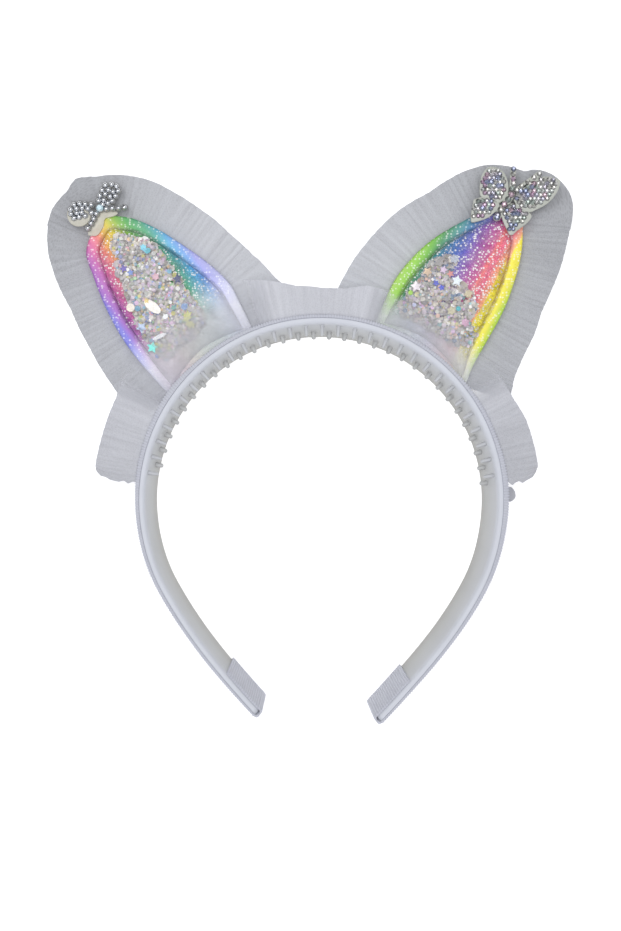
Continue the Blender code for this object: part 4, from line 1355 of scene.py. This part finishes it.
PALE = [(208, 202, 192), (218, 212, 204), (204, 201, 200), (218, 204, 214), (194, 196, 188),
        (208, 210, 200), (200, 192, 178), (224, 216, 202), (188, 186, 190), (210, 196, 210),
        (168, 162, 156), (176, 172, 174), (252, 250, 246)]
LEFT_ACCENTS = [(226, 190, 222), (182, 190, 232), (238, 178, 192), (146, 198, 222),
                (170, 208, 160), (216, 210, 130), (240, 206, 160), (140, 150, 190)]
heap_left = heap(
    "sequin_heap_left",
    [(110, 244), (116, 232), (130, 236), (148, 238), (160, 250), (172, 268), (182, 284),
     (193, 298), (205, 316), (196, 334), (178, 346), (164, 360), (156, 356),
     (142, 334), (131, 308), (124, 290), (116, 266)],
    2400, PALE * 2 + LEFT_ACCENTS, [FLOWER, HEXAGON, HEXAGON, DOT, STAR], (0.40, 0.90), 3,
    [(143, 247, FLOWER, 1.3, 1.1, (130, 205, 225)), (147, 250, DOT, 1.0, 1.1, (96, 190, 205)),
     (123, 268, STAR, 1.4, 1.0, (120, 104, 190)), (130, 272, STAR, 1.2, 1.0, (120, 150, 215)),
     (155, 276, FLOWER, 1.4, 1.0, (222, 178, 190)), (177, 278, STAR, 1.7, 1.15, (38, 52, 110)),
     (130, 307, DOT, 1.4, 1.0, (255, 246, 230)), (152, 306, DOT, 2.3, 1.45, (255, 250, 240)),
     (165, 316, DOT, 0.9, 1.2, (250, 252, 252)), (141, 327, STAR, 1.9, 1.0, (196, 214, 240)),
     (159, 336, DOT, 1.3, 1.9, (250, 252, 255)), (152, 347, STAR, 2.0, 1.0, (120, 235, 222)),
     (184, 306, DOT, 1.1, 1.0, (110, 150, 205)), (173, 307, STAR, 1.2, 1.0, (90, 160, 150)),
     (187, 316, FLOWER, 1.8, 1.2, (206, 206, 90)), (190, 324, FLOWER, 1.6, 1.2, (202, 200, 100)),
     (137, 308, HEXAGON, 1.0, 1.0, (120, 175, 205)), (146, 300, STAR, 1.1, 1.0, (240, 215, 140))])
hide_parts("sequin_fill_left")

# %% Right heap
RIGHT_ACCENTS = [(194, 202, 238), (226, 188, 226), (232, 194, 178), (128, 148, 176),
                 (160, 206, 206), (214, 208, 160)]
heap_right = heap(
    "sequin_heap_right",
    [(398, 304), (410, 288), (424, 272), (438, 258), (452, 252), (456, 262), (450, 276),
     (462, 284), (474, 292), (478, 306), (470, 320), (478, 334), (470, 346), (452, 344),
     (436, 332), (418, 322), (402, 314)],
    1200, PALE * 2 + RIGHT_ACCENTS, [FLOWER, HEXAGON, DOT, STAR, STAR], (0.40, 0.95), 5,
    [(416.6, 285.6, STAR, 2.0, 1.0, (255, 246, 250)), (428, 271, STAR, 1.7, 1.0, (232, 206, 176)),
     (440, 261, FLOWER, 1.8, 1.0, (186, 184, 182)), (455, 258, FLOWER, 1.7, 1.0, (176, 184, 196)),
     (444, 269, STAR, 1.5, 1.0, (236, 214, 236)), (451, 273, STAR, 1.3, 1.0, (226, 146, 140)),
     (457.6, 280, STAR, 2.0, 1.0, (240, 252, 255)), (436.5, 282.5, STAR, 1.2, 1.0, (84, 96, 208)),
     (442, 287, STAR, 1.2, 1.0, (74, 92, 210)), (469, 293, FLOWER, 1.5, 1.0, (206, 196, 160)),
     (452, 310, FLOWER, 1.6, 1.0, (206, 200, 170)), (466, 322, FLOWER, 1.5, 1.0, (220, 176, 204)),
     (459, 308, DOT, 0.8, 1.0, (70, 180, 190)), (411, 292, DOT, 0.8, 1.0, (170, 220, 90))])
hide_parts("sequin_fill_right")

# %% [markdown]
# ## Left butterfly
#
# A hair clip butterfly of chrome beads: two wings, two chains and a pale blue stone where they
# meet, all on a thin metal backing with a clear round pad of glue under the outer wing. The
# photograph shows every bead, so their places are read off it one by one. A bead is half a small
# sphere on a short foot.

# %% Chrome beads
def turned(distance, turn, across=0.0):
    return Vector((distance * cos(turn) - across * sin(turn),
                   distance * sin(turn) + across * cos(turn)))


def dome_shape(name, radius, height, segments=14, rings=8):
    """A half sphere on a short foot."""
    bm = bmesh.new()
    bmesh.ops.create_uvsphere(bm, u_segments=segments, v_segments=rings, radius=radius * MM)
    low = [v for v in bm.verts if v.co.z < -1e-7]
    bmesh.ops.delete(bm, geom=low, context='VERTS')
    bmesh.ops.scale(bm, vec=(1.0, 1.0, height / radius), verts=bm.verts)
    rim = [e for e in bm.edges if e.is_boundary]
    foot = bmesh.ops.extrude_edge_only(bm, edges=rim)
    skirt = [g for g in foot["geom"] if isinstance(g, bmesh.types.BMVert)]
    bmesh.ops.translate(bm, vec=(0, 0, -0.3 * MM), verts=skirt)
    return small_shape(name, bm)


def disc_shape(name, foot_radius, top_radius, depth):
    """A short round post, a little wider at its foot."""
    bm = bmesh.new()
    bmesh.ops.create_cone(bm, cap_ends=True, segments=14, radius1=foot_radius * MM,
                          radius2=top_radius * MM, depth=depth * MM)
    return small_shape(name, bm)


BEADS = (
    (104.5, 184.1), (110.9, 183.2), (115.7, 185.1), (117.3, 189.6), (101.3, 188.9), (107.7, 188.6),
    (112.2, 190.5), (114.7, 194.7), (99.1, 194.7), (104.5, 192.7), (109.3, 195.3), (111.5, 199.6),
    (97.8, 199.6), (102.9, 198.8), (107.1, 202.0), (102.0, 203.4), (73.3, 203.6), (78.7, 202.6),
    (84.4, 202.9), (90.5, 203.6), (69.8, 208.4), (75.5, 207.4), (81.3, 206.8), (87.0, 207.4),
    (90.6, 211.6), (70.1, 212.8), (75.8, 212.0), (80.8, 211.4), (73.3, 217.0), (78.4, 216.0),
    (84.4, 214.6), (95.6, 212.6), (93.0, 217.6), (90.3, 222.2), (87.0, 227.0), (105.6, 207.7),
    (111.5, 207.1), (117.9, 206.8), (124.0, 206.1))
HEART_PLACE, PAD_PLACE = (99.1, 207.1), (78.0, 213.5)
BROOCH_THICKNESS = 1.0
FILM_AT_TIP = 0.6       # height of the film under a butterfly over the window's floor
brooch_base = WINDOW_FLOOR + FILM_AT_TIP + GAP
brooch_top = brooch_base + BROOCH_THICKNESS
brooch_middle = (brooch_base + brooch_top) / 2
left_heart = Vector(seen(*HEART_PLACE))

bead = dome_shape("bead", 0.86, 0.84)
collar = disc_shape("collar", 1.10, 1.04, BROOCH_THICKNESS)
bead_bm, backing_bm = bmesh.new(), bmesh.new()
for column, row in BEADS:
    x, y = seen(column, row)
    stamp(bead_bm, bead, Matrix.Translation(at(x, y, brooch_top)))
    stamp(backing_bm, collar, Matrix.Translation(at(x, y, brooch_middle)))
heart_collar = Matrix.Translation(at(left_heart.x, left_heart.y, brooch_middle))
stamp(backing_bm, collar, heart_collar @ Matrix.Diagonal((1.3, 1.3, 1.0, 1.0)))
print("beads:", len(BEADS))

# %% [markdown]
# ### Chrome
# Polished metal needs little: it shows what is round it. A faint smear in its roughness keeps the
# beads from being perfect mirrors. The backing is the same metal, dull. The foil under the cut
# stones of the other butterfly is much darker: partly the foil's own colour and partly painted
# shade, for the dark rims that the stones show.

# %% Chrome and backing
chrome, tree, shader = new_material("chrome", paint(226, 228, 232), 0.12)
shader.inputs["Metallic"].default_value = 1.0
smear = spots(tree, 900.0, 3.0)
drive(tree, shader, "Roughness", smear, [(0.3, grey(0.06)), (0.8, grey(0.20))])
drive(tree, shader, "Base Color", smear, [
    (0.2, paint(214, 216, 220)), (0.8, paint(234, 236, 240))])


def dull_metal(name, low, high):
    material, tree, shader = new_material(name, paint(*low), 0.45)
    shader.inputs["Metallic"].default_value = 0.5
    soot = spots(tree, 1200.0, 3.0)
    drive(tree, shader, "Base Color", soot, [(0.2, paint(*low)), (0.8, paint(*high))])
    drive(tree, shader, "Roughness", soot, [(0.2, grey(0.35)), (0.8, grey(0.6))])
    return material


plate_metal = dull_metal("plate_metal", (150, 150, 148), (196, 196, 194))
# Partly painted shade: this foil is darker than foil, for the dark rims round the stones.
foil_and_painted_shade = dull_metal("foil_and_painted_shade", (66, 62, 72), (118, 116, 118))

beads = new_piece("chrome_beads", bead_bm, chrome)
backing = new_piece("bead_backing", backing_bm, plate_metal)
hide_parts("butterfly_left")

# %% [markdown]
# ### Stone and pads
#
# The middle stone is a small cut dome of pale blue glass. Clear glue shows in two places: a round
# pad under the outer wing and a smear down to the tip of the ear. Both are flat drops: a disc with
# a rounded edge.

# %% Stone and glue
PAD_RADIUS = 3.9
GLUE_COVER = 0.58
SMEAR = ((87, 234), (86, 221), (94, 210), (106, 208), (117, 211), (112, 215), (104, 217),
         (102, 225), (96, 234))

glue, tree, shader = new_material("clear_glue", paint(212, 209, 196), 0.22)
shader.inputs["Alpha"].default_value = GLUE_COVER
cloud = spots(tree, 500.0, 3.0)
drive(tree, shader, "Base Color", cloud, [
    (0.2, paint(222, 218, 200)), (0.8, paint(240, 237, 224))])
drive(tree, shader, "Roughness", cloud, [(0.2, grey(0.15)), (0.8, grey(0.4))])

pad_middle = Vector(seen(*PAD_PLACE))
pad_outline = [tuple(pad_middle + turned(PAD_RADIUS, 2 * pi * i / 40)) for i in range(40)]
pad = new_piece("glue_pad", drop_mesh(pad_outline, brooch_base + 0.1, 0.8, 0.3), glue)
smear_patch = new_piece("glue_smear", drop_mesh(traced(SMEAR, 36), 6.95, 0.35, 0.15), glue)

blue_glass, tree, shader = new_material("blue_stone", paint(206, 232, 240), 0.08)
cut = spots(tree, 900.0, 1.0)
drive(tree, shader, "Base Color", cut, [
    (0.3, paint(180, 214, 228)), (0.7, paint(226, 244, 248))])
drive(tree, shader, "Roughness", cut, [(0.3, grey(0.04)), (0.7, grey(0.14))])
shader.inputs["Coat Weight"].default_value = 1.0


GIRDLE = 0.35       # share of a stone's height that stands straight


def gem_shape(name, radius, height, sides, table_share):
    """A cut stone: a girdle, one ring of sloping facets and a flat table."""
    bm = bmesh.new()
    bmesh.ops.create_circle(bm, cap_ends=True, segments=sides, radius=radius * MM)
    for share, rise in ((1.0, GIRDLE * height), (table_share, (1.0 - GIRDLE) * height)):
        caps = [f for f in bm.faces if len(f.verts) == sides]
        top = max(caps, key=lambda f: f.calc_center_median().z)
        verts = list(bmesh.ops.extrude_discrete_faces(bm, faces=[top])["faces"][0].verts)
        bmesh.ops.translate(bm, vec=(0, 0, rise * MM), verts=verts)
        bmesh.ops.scale(bm, vec=(share, share, 1.0), verts=verts)
    return small_shape(name, bm)


stone_shape = gem_shape("round_stone", 1.2, 1.1, 12, 0.6)
stone_bm = bmesh.new()
stamp(stone_bm, stone_shape, Matrix.Translation(at(left_heart.x, left_heart.y, brooch_top)))
stone = new_piece("blue_stone", stone_bm, blue_glass)
stone.data.shade_flat()

# %% [markdown]
# ## Right butterfly
#
# This one is a moulding of cream resin, its wings crowded with cut stones that have a rainbow
# coating. Each wing is an outline read off the photograph, pushed up into a plate with a soft
# edge. Stones fill it in close rows, a bit off to one side, so that a cream border shows along
# the lower right edges. Bigger ones stand on the body and climb the antennae.

# %% Resin plates
WINGS = (
    ((507, 198), (509, 186), (505, 173), (497, 167), (488, 167), (482, 175), (480, 187),
     (481, 196), (489, 199), (498, 203)),
    ((514, 200), (518, 191), (525, 184), (535, 179), (546, 176), (559, 179), (560, 185),
     (556, 194), (548, 203), (537, 209), (529, 212), (519, 208)),
    ((474, 199), (485, 196), (497, 200), (500, 207), (494, 213), (487, 218), (474, 222),
     (471, 220), (472, 209)),
    ((504, 206), (513, 203), (523, 208), (532, 215), (527, 223), (519, 229), (511, 235),
     (506, 227), (502, 216)))
BODY = ((497.2, 217.0), (497.9, 214.6), (501.0, 209.4), (504.6, 204.1), (508.4, 199.2),
        (511.7, 194.3))
ANTENNAE = (
    ((512.2, 188.2), (513.5, 183.0), (513.4, 178.6), (513.5, 173.6), (513.8, 168.6)),
    ((517.2, 190.0), (521.8, 185.7), (528.0, 181.6), (534.2, 177.0), (539.6, 173.4)))
PLATE_THICKNESS, PLATE_STEP = 1.0, 0.02     # each plate starts a little above the last
BARS = ((BODY, 1.2), (ANTENNAE[0], 0.9), (ANTENNAE[1], 0.9))        # places, radius
plate_base = WINDOW_FLOOR + FILM_AT_TIP + DOME_HEIGHT * DOME_PROFILE[3][1] + GAP


def bar_outline(places, radius, steps=8):
    """A bar with round ends, from the first place in the picture to the last."""
    start, end = Vector(seen(*places[0])), Vector(seen(*places[-1]))
    turn = atan2(end.y - start.y, end.x - start.x)
    return [tuple(middle + turned(radius, turn + side * pi / 2 + pi * i / steps))
            for middle, side in ((end, -1.0), (start, 1.0)) for i in range(steps + 1)]


wing_lines = [traced(places, 64) for places in WINGS]
plates = wing_lines + [bar_outline(places, radius) for places, radius in BARS]
resin_bm = bmesh.new()
for i, outline in enumerate(plates):
    plate = drop_mesh(outline, plate_base + PLATE_STEP * i, PLATE_THICKNESS - PLATE_STEP * i, 0.25)
    stamp(resin_bm, small_shape("resin_plate_%d" % i, plate), Matrix.Identity(4))
print("resin plates:", len(plates))

# %% [markdown]
# ### Stones
#
# Each stone takes a tint of its own and leans a degree or two, so the facets flash at different
# angles. In a wing they stand in close rows, wherever the border leaves room.

# %% Stones
STONE_PITCH, STONE_MARGIN = 1.40, 0.82
STONE_ROWS, STONE_COLUMNS = 16, 12      # enough to cover the largest wing
STONE_TILT = 6.0        # degrees
STONE_SHIFT = Vector((-0.22, 0.22))


def wing_stones(outline, rng):
    """Stones in close rows, each a margin away from the outline."""
    points = [Vector(p) + STONE_SHIFT for p in outline]
    shifted = [tuple(p) for p in points]
    low_x, low_y = min(p.x for p in points), min(p.y for p in points)
    found = []
    for row in range(STONE_ROWS):
        for i in range(STONE_COLUMNS):
            spot = Vector((low_x + 0.5 + (i + 0.5 * (row % 2)) * STONE_PITCH,
                           low_y + 0.6 + row * STONE_PITCH * 0.866))
            spot += Vector((rng.uniform(-0.1, 0.1), rng.uniform(-0.1, 0.1)))
            clear_way = min((spot - p).length for p in points)
            if within(*spot, shifted) and clear_way > STONE_MARGIN:
                found.append((spot, min(0.88, 0.60 + 0.08 * clear_way) * rng.uniform(0.92, 1.06)))
    return found


rng = Random(11)
stones = [stone for outline in wing_lines for stone in wing_stones(outline, rng)]
stones += [(Vector(seen(*place)), 0.95) for place in BODY]
stones += [(Vector(seen(*place)), 0.78) for chain in ANTENNAE for place in chain]

GEM_TINTS = [(182, 177, 186), (192, 192, 190), (166, 165, 177), (200, 176, 188), (158, 164, 188),
             (174, 184, 178), (208, 206, 203), (182, 158, 178), (150, 158, 184), (188, 192, 190),
             (192, 192, 186), (202, 200, 203)]
cut_stone = gem_shape("cut_stone", 1.0, 0.85, 10, 0.40)
stone_seat = disc_shape("stone_seat", 1.12, 1.10, 0.3)
gem_bm, seats_bm = bmesh.new(), bmesh.new()
plate_top = plate_base + PLATE_THICKNESS
for spot, radius in stones:
    place = Matrix.Translation(at(spot.x, spot.y, plate_top + 0.05))
    grow = Matrix.Scale(radius, 4)
    toss = tossed(rng, STONE_TILT, pi)
    stamp(gem_bm, cut_stone, place @ toss @ grow, paint(*rng.choice(GEM_TINTS)))
    stamp(seats_bm, stone_seat, Matrix.Translation(at(spot.x, spot.y, plate_top)) @ grow)
print("stones:", len(stones))

# %% [markdown]
# ### Resin and coated stones
#
# The resin is cream with a waxy shine. The stones are mirror-backed glass, so they are metallic
# under a clear coat, in their own tints. Each sits in a dark ring, the foil at its edge, painted
# darker than foil so that it also stands for the shade round each stone.

# %% Resin and coated stones
resin, tree, shader = new_material("cream_resin", paint(188, 191, 182), 0.32)
wax = spots(tree, 300.0, 3.0)
drive(tree, shader, "Base Color", wax, [
    (0.2, paint(178, 182, 172)), (0.8, paint(196, 198, 190))])
drive(tree, shader, "Roughness", wax, [(0.2, grey(0.25)), (0.8, grey(0.42))])
coated, tree, shader = new_material("coated_stone", paint(210, 205, 215), 0.08)
facet = spots(tree, 1400.0, 1.0)
stamped_colour(tree, shader, facet, [(0.3, grey(0.7)), (0.7, grey(1.15))])
drive(tree, shader, "Roughness", facet, [(0.2, grey(0.04)), (0.8, grey(0.16))])
shader.inputs["Metallic"].default_value = 0.7

resin_piece = new_piece("resin_butterfly", resin_bm, resin)
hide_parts("butterfly_right")
gems = new_piece("coated_stones", gem_bm, coated)
gems.data.shade_flat()
seats = new_piece("stone_seats", seats_bm, foil_and_painted_shade)

# %% [markdown]
# ## Check the size and finish
# The dressed headband fills the same box as the model, apart from the little that cloth may
# stand proud. Here the scene is brought up to date.

# %% Size and finish
bpy.context.view_layer.update()
